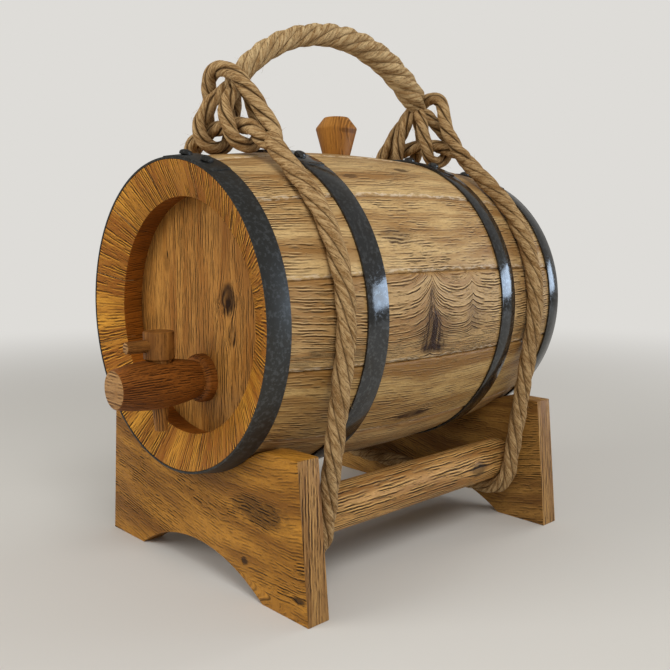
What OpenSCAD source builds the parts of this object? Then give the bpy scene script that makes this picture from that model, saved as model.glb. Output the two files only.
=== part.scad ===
// Small oak keg on a cradle stand, with a rope sling handle, a wooden tap and a bung.
// The barrel lies along Y with its tap towards -Y, the feet stand on Z = 0, and X runs across.

/* [Barrel] */
// Length over the staves
barrel_l = 286; // [260:1:310]
// Radius at the belly
belly_r = 108; // [105:0.5:111]
// Radius at the ends
end_r = 97; // [94:0.5:100]
// Thickness of a stave
stave_t = 23.5; // [19:0.5:26]
// Width of the groove along each seam between two staves
seam_w = 4.4; // [2:0.2:6]
// How far the stave ends slope in towards the head
chime_slope = 10.2; // [6:0.2:13]
// Depth of a head below the rim
head_depth = 24.5; // [20:0.5:30]
// Thickness of a head
head_t = 12; // [10:0.5:15]
// How far the edge of a head enters the staves
croze_d = 5; // [3:0.5:6]
// Thickness of the edge of a head
croze_w = 5; // [3:0.5:7]
// Width of the middle board of a head
head_board_w = 62; // [54:1:70]
// Radius of the dowels between the boards of a head
head_dowel_r = 3; // [2:0.25:4]
// Length of the dowels between the boards of a head
head_dowel_l = 24; // [16:1:30]

/* [Hoops] */
// Thickness of the hoop steel
hoop_t = 1.5; // [1:0.1:2]
// Width of the two end hoops
end_hoop_w = 14.9; // [12:0.1:18]
// Width of the two quarter hoops
quarter_hoop_w = 16.6; // [13:0.1:19]
// Distance of a quarter hoop's middle from the belly
quarter_hoop_y = 65.8; // [58:0.2:68]
// Angle over which the ends of a hoop lap
lap_angle = 30; // [22:1:36]
// Angle of the lap's middle, from the right side of the barrel
lap_mid = 77; // [72:1:84]
// How much narrower than the hoop its lapped end is, on each side
lap_inset = 0.2; // [0.1:0.1:1]
// Angle between the two rivets of a lap
rivet_angle = 13; // [10:0.5:16]
// Radius of a rivet's head
rivet_r = 4; // [3:0.25:5]
// Height of a rivet's head
rivet_h = 2; // [1.5:0.1:2.5]
// Radius of a rivet's shank
rivet_shank_r = 2; // [1.5:0.1:2.5]

/* [Bung] */
// Radius of the bung where it enters the barrel
bung_r = 10; // [8:0.25:12]
// Radius at the bung's lower end
bung_tip_r = 8.6; // [6.5:0.1:9.4]
// Greatest radius of the bung's head
bung_head_r = 15; // [13:0.25:18]
// Height of that greatest radius above the barrel
bung_head_z = 18.8; // [14:0.2:22]
// Radius of the bung's flat top
bung_top_r = 8.7; // [6:0.1:11]
// Height of the bung's top above the barrel
bung_top_z = 26.8; // [24:0.2:30]
// Running gap between the bung and its hole
bung_gap = 0.15; // [0.1:0.05:0.3]

/* [Tap] */
// Height of the barrel's axis above the tap's axis
tap_drop = 41; // [34:0.5:46]
// Length of the tap in front of the head
tap_l = 64.3; // [58:0.1:72]
// Radius at the tap's front end and neck
tap_end_r = 12; // [10:0.25:13.5]
// Radius at the tap's middle
tap_mid_r = 15.5; // [14.5:0.25:17]
// Radius of the collar against the head
tap_collar_r = 15.7; // [15:0.1:18]
// Thickness of the collar
tap_collar_t = 7.7; // [5:0.1:9]
// Radius of the shank where it enters the head
tap_shank_r = 11; // [9:0.25:12]
// Radius of the shank's inner end
tap_shank_tip_r = 9.5; // [7:0.25:10]
// Length of the shank behind the head's face
tap_shank_l = 30; // [22:0.5:40]
// Radius of the flow bore along the tap
tap_bore_r = 3; // [2:0.25:4]
// Distance of the key's axis from the tap's front end
key_y = 31.6; // [27:0.2:36]
// Radius of the key's head
key_head_r = 9.6; // [9:0.1:11]
// Height of the key's head
key_head_h = 17.4; // [14:0.2:20]
// Radius of the key where it enters the tap
key_top_r = 8; // [7:0.1:8.6]
// Radius of the key's spout end
key_tip_r = 3.8; // [3.4:0.1:4.6]
// Length of the spout below the tap
key_spout_l = 14.2; // [10:0.2:18]
// Radius of the bore through the spout
key_bore_r = 2.5; // [1.5:0.1:2.6]
// Running gap between the key and the tap
key_gap = 0.1; // [0.05:0.05:0.3]
// Radius of the key handle at the key
key_handle_r = 4.5; // [3.5:0.1:5]
// Radius of the key handle's tip
key_handle_tip_r = 3.6; // [2.5:0.1:4]
// Reach of the key handle from the key's axis
key_handle_l = 23; // [18:0.5:28]

/* [Stand] */
// Height of the barrel's axis above the floor
axis_h = 169.6; // [165:0.2:176]
// Thickness of a cradle board
cradle_t = 16.1; // [13:0.1:18]
// Width of a cradle at the floor
cradle_w = 223.6; // [214:0.2:236]
// Width of a cradle at its horns
cradle_top_w = 206.4; // [196:0.2:212]
// Height of the horns
horn_z = 95; // [88:0.5:100]
// Radius of the rounded inner side of a horn
horn_round = 35; // [22:1:40]
// Half of the width between the feet
arch_w = 69.4; // [60:0.2:78]
// Height of the arch between the feet
arch_h = 21.6; // [14:0.2:25]
// Radius of a rung
rung_r = 14.9; // [13:0.1:16.5]
// Distance of a rung from the middle
rung_x = 69.6; // [66:0.2:74]
// Height of a rung's axis
rung_z = 46.8; // [43:0.2:50]
// Radius of the rounding at a rung's ends
rung_round = 5; // [2:0.5:6]
// Depth of a rung's mortise
mortise_d = 9; // [6:0.5:11]
// Gap between an end hoop and the cradle behind it
hoop_gap = 0.9; // [0.4:0.1:2]

/* [Rope] */
// Diameter of the sling rope
sling_d = 12; // [10:0.25:13]
// Distance of a sling's line from the cradle beside it
sling_in = 16.1; // [12:0.1:19]
// Angle at which a sling lifts off the barrel towards its knot
lift_angle = 48.5; // [47:0.5:50]
// Length of a sling's straight run from the barrel to its knot
lift_l = 46; // [44:0.5:46]
// Diameter of a knot's ropes
knot_d = 9.5; // [8:0.1:9.7]
// Diameter of the handle rope
handle_d = 14.5; // [12:0.25:14.7]
// Diameter of the handle's necks, under the ropes that go over them
neck_d = 9; // [8:0.1:9.2]
// Length over which the handle narrows to a neck
neck_l = 15; // [15:0.5:20]
// How much thicker the handle is towards the rear
handle_swell = 5.5; // [0:0.25:6]
// Share of the arch at which the handle starts to thicken
swell_from = 0.3; // [0.2:0.05:0.4]
// Share of the arch at which the handle is thickest
swell_to = 0.8; // [0.7:0.05:0.85]
// Length over which the thick end narrows before its neck
swell_l = 12; // [12:0.5:20]
// Radius of the handle's arch
handle_r = 118; // [105:1:150]
// Distance of the handle's ends from their slings, towards the belly
handle_inset = 3; // [3:0.5:6]
// Height of the handle's ends above the barrel
handle_lift = 44; // [42:0.1:44]
// Gap between a rope and what it lies on
rope_gap = 0.15; // [0.1:0.05:0.4]

/* [Hidden] */

// Enough steps for a long, slightly curved arc
arc_fn = 720;
$fn = 96;
// A small overshoot for cuts, and a hair's angle by which a groove passes its seam
over = 1;
hair = 0.01;

// Shape of the barrel: every face of a stave is an arc about the same centre.
stave_n = 12;
stave_pitch = 360 / stave_n;
barrel_half = barrel_l / 2;
bulge = belly_r - end_r;
arc_r = (barrel_half * barrel_half + bulge * bulge) / (2 * bulge);
arc_x = belly_r - arc_r;
function outer_r(a) = arc_x + sqrt(arc_r * arc_r - a * a);
function inner_r(a) = arc_x + sqrt(pow(arc_r - stave_t, 2) - a * a);
// Axial place of the stave end at a radius
function chime_a(r) = barrel_half - (end_r - r) * chime_slope / stave_t;

// The heads
head_face = barrel_half - head_depth;
head_back = head_face - head_t;
head_mid = (head_face + head_back) / 2;
head_r = inner_r(head_mid) + croze_d;
head_rim = inner_r(head_face) - croze_w / 10;
dowel_share = 0.4;
head_dowel_y = dowel_share * head_r;

// The part is centred on its own length, with the tap included.
tap_reach = tap_l - head_depth;
shift_y = tap_reach / 2;

// The stand
cradle_face = barrel_half - end_hoop_w - hoop_gap;
cradle_back = cradle_face - cradle_t;
saddle_r = outer_r((cradle_face + cradle_back) / 2);
horn_x = sqrt(pow(saddle_r + horn_round, 2) - pow(axis_h - horn_z + horn_round, 2));
arch_r = (arch_w * arch_w + arch_h * arch_h) / (2 * arch_h);
tenon_r = rung_r - rung_round;

// The tap and its key
tap_mid_half = (tap_l - tap_collar_t) / 2;
tap_swell = tap_mid_r - tap_end_r;
tap_arc_r = (tap_mid_half * tap_mid_half + tap_swell * tap_swell) / (2 * tap_swell);
key_s = tap_l - key_y;
key_taper = (key_top_r - key_tip_r) / (2 * tap_mid_r + key_spout_l);
key_low = -tap_mid_r - key_spout_l;
key_seat = tap_mid_r + 2 * key_gap;
key_grip_z = key_seat + key_head_h / 2;

// The rope: a sling leaves the barrel on the line that touches it and the rung.
sling_y = cradle_back - sling_in;
sling_r = sling_d / 2;
knot_r = knot_d / 2;
bed_r = outer_r(sling_y);
lay_r = bed_r + sling_r + rope_gap;
rung_lay_r = rung_r + sling_r + rope_gap;
rung_fall = axis_h - rung_z;
rung_far = norm([rung_x, rung_fall]);
leave_angle = acos((lay_r - rung_lay_r) / rung_far) - atan2(rung_fall, rung_x);

// Routes of a knot's ropes: across, outwards from the belly, and up from the top of the barrel.
// Both side ropes start just past the end of the sling: the lower one outside, the upper one inside.
lift_out = [cos(lift_angle), 0, sin(lift_angle)];
lift_along = [-sin(lift_angle), 0, cos(lift_angle)];
split_at = lay_r * lift_out - [0, 0, bed_r] + lift_l * lift_along;
function at_split(past, rise, out) = split_at + past * lift_along + rise * lift_out + [0, out, 0];
function other_side(route) = [for (i = [len(route) - 1 : -1 : 0]) [-route[i][0], route[i][1], route[i][2]]];
cross_half = [at_split(1.8, -2.1, 3.9), [30.5, 2.4, 11.4], [23.5, 0.8, 14.4], [13, 0, 16.8]];
over_start = [at_split(1.55, 3.2, -4.6)];
over_mid = [[33.6, -3.4, 20.5], [27.6, -1.6, 29.5], [20.4, 0.6, 39], [9.5, 2.6, 48.8], [-3.6, 3, 54],
    [-14.4, 2.4, 52.3], [-20.8, 0.6, 44.6], [-23.8, -1.4, 35], [-29.4, -3.4, 25.5]];
cross_route = concat(cross_half, [[0, 0, 17.6]], other_side(cross_half));
over_route = concat(over_start, over_mid, other_side(over_start));
left_route = [[-8, 1.4, 37.4], [-11.5, 7, 31.6], [-17.5, 10.6, 20.5], [-18, 8.2, 9], [-15, 0, 4.2],
    [-13.5, -8.2, 9], [-12, -10.8, 21], [-9.4, -11, 31]];
right_route = [[6.6, 2, 36.4], [8.4, 7.4, 31.4], [11.5, 10.8, 22], [16.5, 9.2, 9], [20.5, 0, 3.2],
    [19, -9, 8.6], [15, -11, 20], [10.4, -11, 31]];

// The handle turns about a line through the ends of its two necks, which pass under the ropes over them.
handle_end_y = sling_y - handle_inset;
handle_end_z = axis_h + bed_r + handle_lift;
handle_rise = sqrt(handle_r * handle_r - handle_end_y * handle_end_y);
handle_end_angle = acos(handle_end_y / handle_r);

// Sides of a swept rope, and its steps between two points of a route, over the barrel and under a rung
rope_sides = 10;
rope_steps = 4;
bed_steps = 16;
rung_steps = 8;
// A direction that no rope runs along, from which the rings are turned
first_side = [0.3, 1, 0.2];
// Steps of the handle's arch, and how far round its rounded ends their rings lie
arch_steps = 36;
dome_rises = [84, 62, 32];

oak = "burlywood";
head_oak = "peru";
dark_oak = "sienna";
stand_oak = "chocolate";
steel = "dimgray";
jute = "tan";

// Barrel frame: X across, Y up, Z towards the front end, about the middle of the barrel.
module barrel_frame() {
    translate([0, shift_y, axis_h]) rotate([90, 0, 0]) children();
}

// Tap frame: the tap's axis, from the head's face towards the front.
module tap_frame() {
    barrel_frame() translate([0, -tap_drop, head_face]) children();
}

// Turns a front piece into its rear twin where asked.
module end_of_barrel(rear) {
    if (rear) mirror([0, 0, 1]) children();
    else children();
}

module head_section() {
    polygon([[0, head_back], [inner_r(head_back) - croze_w / 10, head_back],
        [head_r, head_mid - croze_w / 2], [head_r, head_mid + croze_w / 2],
        [head_rim, head_face], [0, head_face]]);
}

module stave_section() {
    r_low = end_r - 2 * stave_t;
    r_high = belly_r + over;
    difference() {
        intersection() {
            translate([arc_x, 0]) circle(arc_r, $fn = arc_fn);
            polygon([[r_low, -chime_a(r_low)], [r_high, -chime_a(r_high)],
                [r_high, chime_a(r_high)], [r_low, chime_a(r_low)]]);
        }
        translate([arc_x, 0]) circle(arc_r - stave_t, $fn = arc_fn);
        head_section();
        mirror([0, 1]) head_section();
    }
}

// The groove along a stave's edge follows the edge's own arc.
module seam_groove() {
    half = asin((barrel_half + 2 * seam_w) / arc_r);
    translate([arc_x, 0, 0]) rotate([90, 0, 0]) rotate([0, 0, -half])
        rotate_extrude(angle = 2 * half, $fn = arc_fn)
            translate([arc_r, 0]) rotate(45) square(seam_w / sqrt(2), center = true);
}

module bung_cone(gap, low, high) {
    taper = (bung_r - bung_tip_r) / (stave_t + over);
    translate([0, 0, low])
        cylinder(high - low, bung_r + gap + taper * low, bung_r + gap + taper * high);
}

module stave_blank() {
    difference() {
        rotate([0, 0, -stave_pitch / 2]) rotate_extrude(angle = stave_pitch, $fn = 180) stave_section();
        for (side = [-1, 1]) rotate([0, 0, side * (stave_pitch / 2 + hair)]) seam_groove();
    }
}

module stave(i) {
    color(oak) barrel_frame() rotate([0, 0, 90 + i * stave_pitch]) difference() {
        stave_blank();
        if (i == 0) translate([belly_r, 0, 0]) rotate([0, 90, 0]) bung_cone(bung_gap, -stave_t - over, over);
    }
}

module head_dowel_bodies() {
    for (side = [-1, 1], up = [-1, 1])
        translate([side * head_board_w / 2, up * head_dowel_y, head_mid])
            rotate([0, 90, 0]) cylinder(head_dowel_l, head_dowel_r, head_dowel_r, center = true);
}

module head_board(place, rear) {
    x_low = place < 0 ? -head_r - over : place == 0 ? -head_board_w / 2 : head_board_w / 2;
    x_high = place < 0 ? -head_board_w / 2 : place == 0 ? head_board_w / 2 : head_r + over;
    color(head_oak) barrel_frame() end_of_barrel(rear) difference() {
        intersection() {
            rotate_extrude($fn = 180) head_section();
            translate([x_low, -head_r - over, head_back - over])
                cube([x_high - x_low, 2 * (head_r + over), head_t + 2 * over]);
        }
        head_dowel_bodies();
        if (!rear && place == 0) translate([0, -tap_drop, head_face]) tap_shank(over);
    }
}

module head_dowels(rear) {
    color(oak) barrel_frame() end_of_barrel(rear) head_dowel_bodies();
}

// A place on a hoop's outside: Z then points out of the barrel.
module on_hoop(a, angle) {
    rotate([0, 0, angle]) translate([arc_x, 0, 0]) rotate([0, -asin(a / arc_r), 0])
        translate([arc_r, 0, 0]) rotate([0, 90, 0]) children();
}

module at_rivets(a) {
    for (side = [-1, 1]) on_hoop(a, lap_mid + side * rivet_angle / 2) children();
}

// A strip of steel seen end on: flat, and lying on the barrel along its middle.
module strip_section(a_low, w, inset, from, to) {
    lift = w * w / (8 * arc_r);
    r_low = outer_r(a_low) + lift;
    slope = (outer_r(a_low + w) + lift - r_low) / w;
    function strip_r(a) = r_low + slope * (a - a_low);
    ends = [a_low + inset, a_low + w - inset];
    polygon([[strip_r(ends[0]) + from, ends[0]], [strip_r(ends[0]) + to, ends[0]],
        [strip_r(ends[1]) + to, ends[1]], [strip_r(ends[1]) + from, ends[1]]]);
}

// A closed ring, with the strip's end lapped over it.
module hoop(a_low, w, rear) {
    color(steel) barrel_frame() end_of_barrel(rear) difference() {
        union() {
            rotate_extrude($fn = 180) strip_section(a_low, w, 0, 0, hoop_t);
            rotate([0, 0, lap_mid - lap_angle / 2])
                rotate_extrude(angle = lap_angle, $fn = 180)
                    strip_section(a_low, w, lap_inset, hoop_t / 2, 2 * hoop_t);
        }
        at_rivets(a_low + w / 2) translate([0, 0, -over]) cylinder(2 * hoop_t + 2 * over, r = rivet_shank_r);
    }
}

module rivet() {
    dome_r = (rivet_r * rivet_r + rivet_h * rivet_h) / (2 * rivet_h);
    cylinder(2 * hoop_t + rivet_h / 4, r = rivet_shank_r);
    translate([0, 0, 2 * hoop_t]) rotate_extrude() intersection() {
        translate([0, rivet_h - dome_r]) circle(dome_r);
        square([rivet_r, rivet_h]);
    }
}

module rivets(a, rear) {
    color(steel) barrel_frame() end_of_barrel(rear) at_rivets(a) rivet();
}

end_hoop_a = barrel_half - end_hoop_w;
quarter_hoop_a = quarter_hoop_y - quarter_hoop_w / 2;

module bung() {
    color(head_oak) translate([0, shift_y, axis_h + belly_r]) union() {
        bung_cone(0, -stave_t, 0);
        cylinder(bung_head_z, bung_r, bung_head_r);
        translate([0, 0, bung_head_z]) cylinder(bung_top_z - bung_head_z, bung_head_r, bung_top_r);
    }
}

module tap_shank(ahead) {
    taper = (tap_shank_r - tap_shank_tip_r) / tap_shank_l;
    translate([0, 0, -tap_shank_l])
        cylinder(tap_shank_l + ahead, tap_shank_tip_r, tap_shank_r + taper * ahead);
}

module key_cone(gap, low, high) {
    r_mid = key_tip_r - key_low * key_taper;
    translate([0, 0, low])
        cylinder(high - low, r_mid + gap + low * key_taper, r_mid + gap + high * key_taper);
}

// Key frame: the key's upright axis at the height of the tap's axis, with -Y forwards.
module key_frame() {
    tap_frame() translate([0, 0, key_s]) rotate([-90, 0, 0]) children();
}

module tap_section() {
    middle = tap_collar_t + tap_mid_half;
    round_r = tap_collar_t / 2;
    difference() {
        intersection() {
            translate([tap_mid_r - tap_arc_r, middle]) circle(tap_arc_r, $fn = arc_fn);
            square([tap_mid_r, tap_l]);
        }
        square([tap_mid_r + over, tap_collar_t / 2]);
    }
    square([tap_collar_r - round_r, tap_collar_t]);
    square([tap_collar_r, round_r]);
    translate([tap_collar_r - round_r, round_r]) circle(round_r);
}

module tap_body() {
    color(dark_oak) difference() {
        union() {
            tap_frame() rotate_extrude() tap_section();
            tap_frame() tap_shank(0);
        }
        tap_frame() translate([0, 0, -tap_shank_l - over])
            cylinder(tap_shank_l + key_s + over, r = tap_bore_r);
        key_frame() key_cone(key_gap, -tap_mid_r - over, tap_mid_r + over);
    }
}

module key_handle_cone() {
    rotate([90, 0, 0]) cylinder(key_handle_l, key_handle_r, key_handle_tip_r);
}

module tap_key() {
    color(dark_oak) key_frame() difference() {
        union() {
            key_cone(0, key_low, key_seat);
            translate([0, 0, key_seat]) cylinder(key_head_h, r = key_head_r);
        }
        translate([0, 0, key_low - over]) cylinder(over - key_low, r = key_bore_r);
        rotate([0, 90, 0]) cylinder(tap_mid_r, r = key_bore_r);
        translate([0, 0, key_grip_z]) key_handle_cone();
    }
}

module tap_key_handle() {
    color(dark_oak) key_frame() translate([0, 0, key_grip_z]) key_handle_cone();
}

module barrel_body() {
    barrel_frame() rotate_extrude($fn = 180) intersection() {
        translate([arc_x, 0]) circle(arc_r, $fn = arc_fn);
        translate([0, -barrel_half]) square([belly_r, barrel_l]);
    }
}

// Outline of a cradle board, from the front: X across and Y up.
module cradle_outline() {
    touch = [horn_x, axis_h - horn_z + horn_round] * saddle_r / (saddle_r + horn_round);
    difference() {
        polygon([[-cradle_w / 2, 0], [cradle_w / 2, 0],
            [cradle_top_w / 2, horn_z], [-cradle_top_w / 2, horn_z]]);
        translate([0, arch_h - arch_r]) circle(arch_r, $fn = arc_fn);
        for (side = [-1, 1]) mirror([side < 0 ? 1 : 0, 0]) difference() {
            polygon([[0, axis_h - touch[1]], [touch[0], axis_h - touch[1]], [horn_x, horn_z],
                [horn_x, horn_z + over], [0, horn_z + over]]);
            translate([horn_x, horn_z - horn_round]) circle(horn_round, $fn = arc_fn);
        }
    }
}

module cradle(rear) {
    color(stand_oak) difference() {
        translate([0, shift_y, 0]) mirror([0, rear ? 1 : 0, 0])
            translate([0, -cradle_back, 0]) rotate([90, 0, 0]) linear_extrude(cradle_t) cradle_outline();
        barrel_body();
        for (side = [-1, 1]) rung_body(side);
    }
}

module rung_section() {
    shoulder = cradle_back - rung_round;
    square([rung_r, shoulder]);
    square([tenon_r, cradle_back + mortise_d]);
    translate([tenon_r, shoulder]) intersection() {
        circle(rung_round);
        square(rung_round);
    }
}

module rung_body(side) {
    translate([side * rung_x, shift_y, rung_z]) rotate([90, 0, 0]) rotate_extrude() {
        rung_section();
        mirror([0, 1]) rung_section();
    }
}

module rung(side) {
    color(stand_oak) rung_body(side);
}

// A smooth line through a route's points.
function bend(a, b, c, d, t) =
    (2 * b + (c - a) * t + (2 * a - 5 * b + 4 * c - d) * t * t + (3 * b - a - 3 * c + d) * t * t * t) / 2;
function longer(route) =
    concat([2 * route[0] - route[1]], route, [2 * route[len(route) - 1] - route[len(route) - 2]]);
function smooth(route) = let (p = longer(route)) concat(
    [for (i = [1 : len(p) - 3], k = [0 : rope_steps - 1])
        bend(p[i - 1], p[i], p[i + 1], p[i + 2], k / rope_steps)],
    [route[len(route) - 1]]);
function unit(v) = v / norm(v);
function heading(line, i) = unit(line[min(i + 1, len(line) - 1)] - line[max(i - 1, 0)]);
// The sideways direction of each ring, carried along without twist.
function square_to(v, along) = unit(v - (v * along) * along);
function sideways(line) = [for (i = 0, v = square_to(first_side, heading(line, 0)); i < len(line);
    i = i + 1, v = i < len(line) ? square_to(v, heading(line, i)) : v) v];

// A tube along a line, with a radius for each of its rings.
module swept_rope(line, radii) {
    side = sideways(line);
    last = len(line) - 1;
    points = [for (i = [0 : last], k = [0 : rope_sides - 1])
        let (turn = 360 * k / rope_sides)
        line[i] + radii[i] * (cos(turn) * side[i] + sin(turn) * cross(heading(line, i), side[i]))];
    walls = [for (i = [0 : last - 1], k = [0 : rope_sides - 1], half = [0, 1])
        let (a = i * rope_sides + k, b = i * rope_sides + (k + 1) % rope_sides)
        half == 0 ? [a, a + rope_sides, b] : [b, a + rope_sides, b + rope_sides]];
    first_cap = [for (k = [1 : rope_sides - 2]) [0, k, k + 1]];
    end = last * rope_sides;
    last_cap = [for (k = [1 : rope_sides - 2]) [end, end + k + 1, end + k]];
    polyhedron(points, concat(walls, first_cap, last_cap));
}

// A sling's line: from its knot to the barrel, round it, straight to the rung, under it and across.
function on_circle(x, z, r, angle) = [x + r * cos(angle), 0, z + r * sin(angle)];
function sling_side() = concat(
    [split_at + [0, 0, axis_h + bed_r]],
    [for (i = [0 : bed_steps])
        on_circle(0, axis_h, lay_r, lift_angle + (leave_angle - lift_angle) * i / bed_steps)],
    [for (i = [0 : rung_steps])
        on_circle(rung_x, rung_z, rung_lay_r, leave_angle + (-90 - leave_angle) * i / rung_steps)]);

module sling(rear) {
    half = sling_side();
    line = [for (p = concat(half, other_side(half))) p + [0, shift_y + (rear ? sling_y : -sling_y), 0]];
    color(jute) swept_rope(line, [for (p = line) sling_r]);
}

// A knot's rope: a route's second number points outwards, and the rear knot is turned half round.
module knot_rope(route, rear) {
    turn = rear ? -1 : 1;
    line = [for (p = smooth(route))
        [turn * p[0], shift_y - turn * (sling_y + p[1]), axis_h + bed_r + p[2]]];
    color(jute) swept_rope(line, [for (p = line) knot_r]);
}

// The handle's line: an arch between two necks with rounded ends, each ring as [place, radius].
handle_mid_z = handle_end_z - handle_rise;
function on_arch(angle) = [0, shift_y - handle_r * cos(angle), handle_mid_z + handle_r * sin(angle)];
function eased(share) = let (t = max(min(share, 1), 0)) t * t * (3 - 2 * t);
function arch_l(turn) = handle_r * turn * PI / 180;
function swell_at(turn, bow) = handle_swell * eased((turn / bow - swell_from) / (swell_to - swell_from))
    * eased((arch_l(bow - turn) - neck_l) / swell_l);
function thick_at(turn, bow) = neck_d + (handle_d - neck_d) * eased(arch_l(min(turn, bow - turn)) / neck_l)
    + swell_at(turn, bow);
function arch_ring(turn, bow) = [on_arch(handle_end_angle + turn), thick_at(turn, bow) / 2];
function dome_ring(end, along, rise) = [end + along * sin(rise) * neck_d / 2, cos(rise) * neck_d / 2];
function handle_rings() = let (
        bow = 180 - 2 * handle_end_angle,
        start = on_arch(handle_end_angle),
        finish = on_arch(handle_end_angle + bow),
        down = [0, -sin(handle_end_angle), -cos(handle_end_angle)],
        down_again = [0, sin(handle_end_angle), -cos(handle_end_angle)])
    concat([for (rise = dome_rises) dome_ring(start, down, rise)],
        [for (i = [0 : arch_steps]) arch_ring(bow * i / arch_steps, bow)],
        [for (i = [len(dome_rises) - 1 : -1 : 0]) dome_ring(finish, down_again, dome_rises[i])]);

module handle_rope() {
    rings = handle_rings();
    color(jute) swept_rope([for (ring = rings) ring[0]], [for (ring = rings) ring[1]]);
}

stave(0);  // bung_stave
stave(1);  // stave_02
stave(2);  // stave_03
stave(3);  // stave_04
stave(4);  // stave_05
stave(5);  // stave_06
stave(6);  // stave_07
stave(7);  // stave_08
stave(8);  // stave_09
stave(9);  // stave_10
stave(10);  // stave_11
stave(11);  // stave_12
head_board(-1, false);  // front_head_left_board
head_board(0, false);  // front_head_middle_board
head_board(1, false);  // front_head_right_board
head_dowels(false);  // front_head_dowels
head_board(-1, true);  // rear_head_left_board
head_board(0, true);  // rear_head_middle_board
head_board(1, true);  // rear_head_right_board
head_dowels(true);  // rear_head_dowels
hoop(end_hoop_a, end_hoop_w, false);  // front_end_hoop
hoop(quarter_hoop_a, quarter_hoop_w, false);  // front_quarter_hoop
hoop(quarter_hoop_a, quarter_hoop_w, true);  // rear_quarter_hoop
hoop(end_hoop_a, end_hoop_w, true);  // rear_end_hoop
rivets(barrel_half - end_hoop_w / 2, false);  // front_end_rivets
rivets(quarter_hoop_y, false);  // front_quarter_rivets
rivets(quarter_hoop_y, true);  // rear_quarter_rivets
rivets(barrel_half - end_hoop_w / 2, true);  // rear_end_rivets
bung();
tap_body();
tap_key();
tap_key_handle();
cradle(false);  // front_cradle
cradle(true);  // rear_cradle
rung(-1);  // left_rung
rung(1);  // right_rung
sling(false);  // front_sling
knot_rope(cross_route, false);  // front_cross_rope
knot_rope(over_route, false);  // front_over_rope
knot_rope(left_route, false);  // front_left_bight
knot_rope(right_route, false);  // front_right_bight
sling(true);  // rear_sling
knot_rope(cross_route, true);  // rear_cross_rope
knot_rope(over_route, true);  // rear_over_rope
knot_rope(right_route, true);  // rear_left_bight
knot_rope(left_route, true);  // rear_right_bight
handle_rope();
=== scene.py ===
"""The look of a small oak keg with a rope handle on its cradle stand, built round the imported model."""
from __future__ import annotations

import logging
import math
import random
from dataclasses import dataclass, field, replace
from enum import Enum
from typing import Any, Callable, Sequence, Union

import bmesh
import bpy
import numpy as np
from mathutils import Matrix, Vector


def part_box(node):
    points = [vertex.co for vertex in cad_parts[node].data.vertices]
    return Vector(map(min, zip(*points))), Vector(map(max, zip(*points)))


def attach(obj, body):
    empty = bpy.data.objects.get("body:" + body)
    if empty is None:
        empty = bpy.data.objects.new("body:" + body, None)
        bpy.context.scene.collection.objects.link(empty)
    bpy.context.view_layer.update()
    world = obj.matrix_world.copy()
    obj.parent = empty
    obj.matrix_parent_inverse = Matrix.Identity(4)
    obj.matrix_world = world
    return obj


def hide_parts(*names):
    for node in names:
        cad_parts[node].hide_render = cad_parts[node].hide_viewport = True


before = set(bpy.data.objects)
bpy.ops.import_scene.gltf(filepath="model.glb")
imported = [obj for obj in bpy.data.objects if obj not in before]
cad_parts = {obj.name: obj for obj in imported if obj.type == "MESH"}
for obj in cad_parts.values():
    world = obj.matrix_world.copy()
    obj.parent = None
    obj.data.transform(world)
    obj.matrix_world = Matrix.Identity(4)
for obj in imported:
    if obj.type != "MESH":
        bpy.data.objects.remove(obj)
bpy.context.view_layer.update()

LOG = logging.getLogger("keg")
MM = 0.001
LOOK = ".look"
# How squarely a face looks along an axis before it counts as an end, a cut end or an inner side
ENDWISE = 0.6
CUT_SQUARE = 0.9
HALFWAY = 0.5
# How deep in the timber end grain is read
END_DEPTH = 0.1

Point = Sequence[float]
Colour = tuple[float, float, float, float]
Value = Union["Wire", float, Colour, Point]


def tint(red: int, green: int, blue: int) -> Colour:
    """Turns a colour of 0 to 255 steps, as seen on a screen, into the linear one that shaders take.

    Args:
        red: red part.
        green: green part.
        blue: blue part.

    Returns:
        The linear colour with a full alpha.
    """
    parts = [part / 255 for part in (red, green, blue)]
    linear = [p / 12.92 if p <= 0.04045 else ((p + 0.055) / 1.055) ** 2.4 for p in parts]
    return (linear[0], linear[1], linear[2], 1.0)


def arc(centre: Point, radius: float, start: float, end: float, steps: int) -> list[tuple[float, float]]:
    """Points on a flat arc.

    Args:
        centre: middle of the circle.
        radius: its radius.
        start: first angle in degrees.
        end: last angle in degrees.
        steps: number of stretches.

    Returns:
        The points, both ends among them.
    """
    angles = [math.radians(start + (end - start) * i / steps) for i in range(steps + 1)]
    return [(centre[0] + radius * math.cos(a), centre[1] + radius * math.sin(a)) for a in angles]


class Wire:
    """A socket of a node tree that takes part in arithmetic."""

    def __init__(self, board: "Board", socket: bpy.types.NodeSocket) -> None:
        """Keeps the socket and the tree that it belongs to."""
        self.board = board
        self.socket = socket

    def __add__(self, other: Value) -> "Wire":
        """Sum of two values."""
        return self.board.math("ADD", self, other)

    def __radd__(self, other: Value) -> "Wire":
        """Sum with the wire on the right."""
        return self.board.math("ADD", other, self)

    def __sub__(self, other: Value) -> "Wire":
        """Difference of two values."""
        return self.board.math("SUBTRACT", self, other)

    def __rsub__(self, other: Value) -> "Wire":
        """Difference with the wire on the right."""
        return self.board.math("SUBTRACT", other, self)

    def __mul__(self, other: Value) -> "Wire":
        """Product of two values."""
        return self.board.math("MULTIPLY", self, other)

    def __truediv__(self, other: Value) -> "Wire":
        """Quotient of two values."""
        return self.board.math("DIVIDE", self, other)

    def __neg__(self) -> "Wire":
        """The value with its sign turned."""
        return self.board.math("MULTIPLY", self, -1.0)


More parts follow.
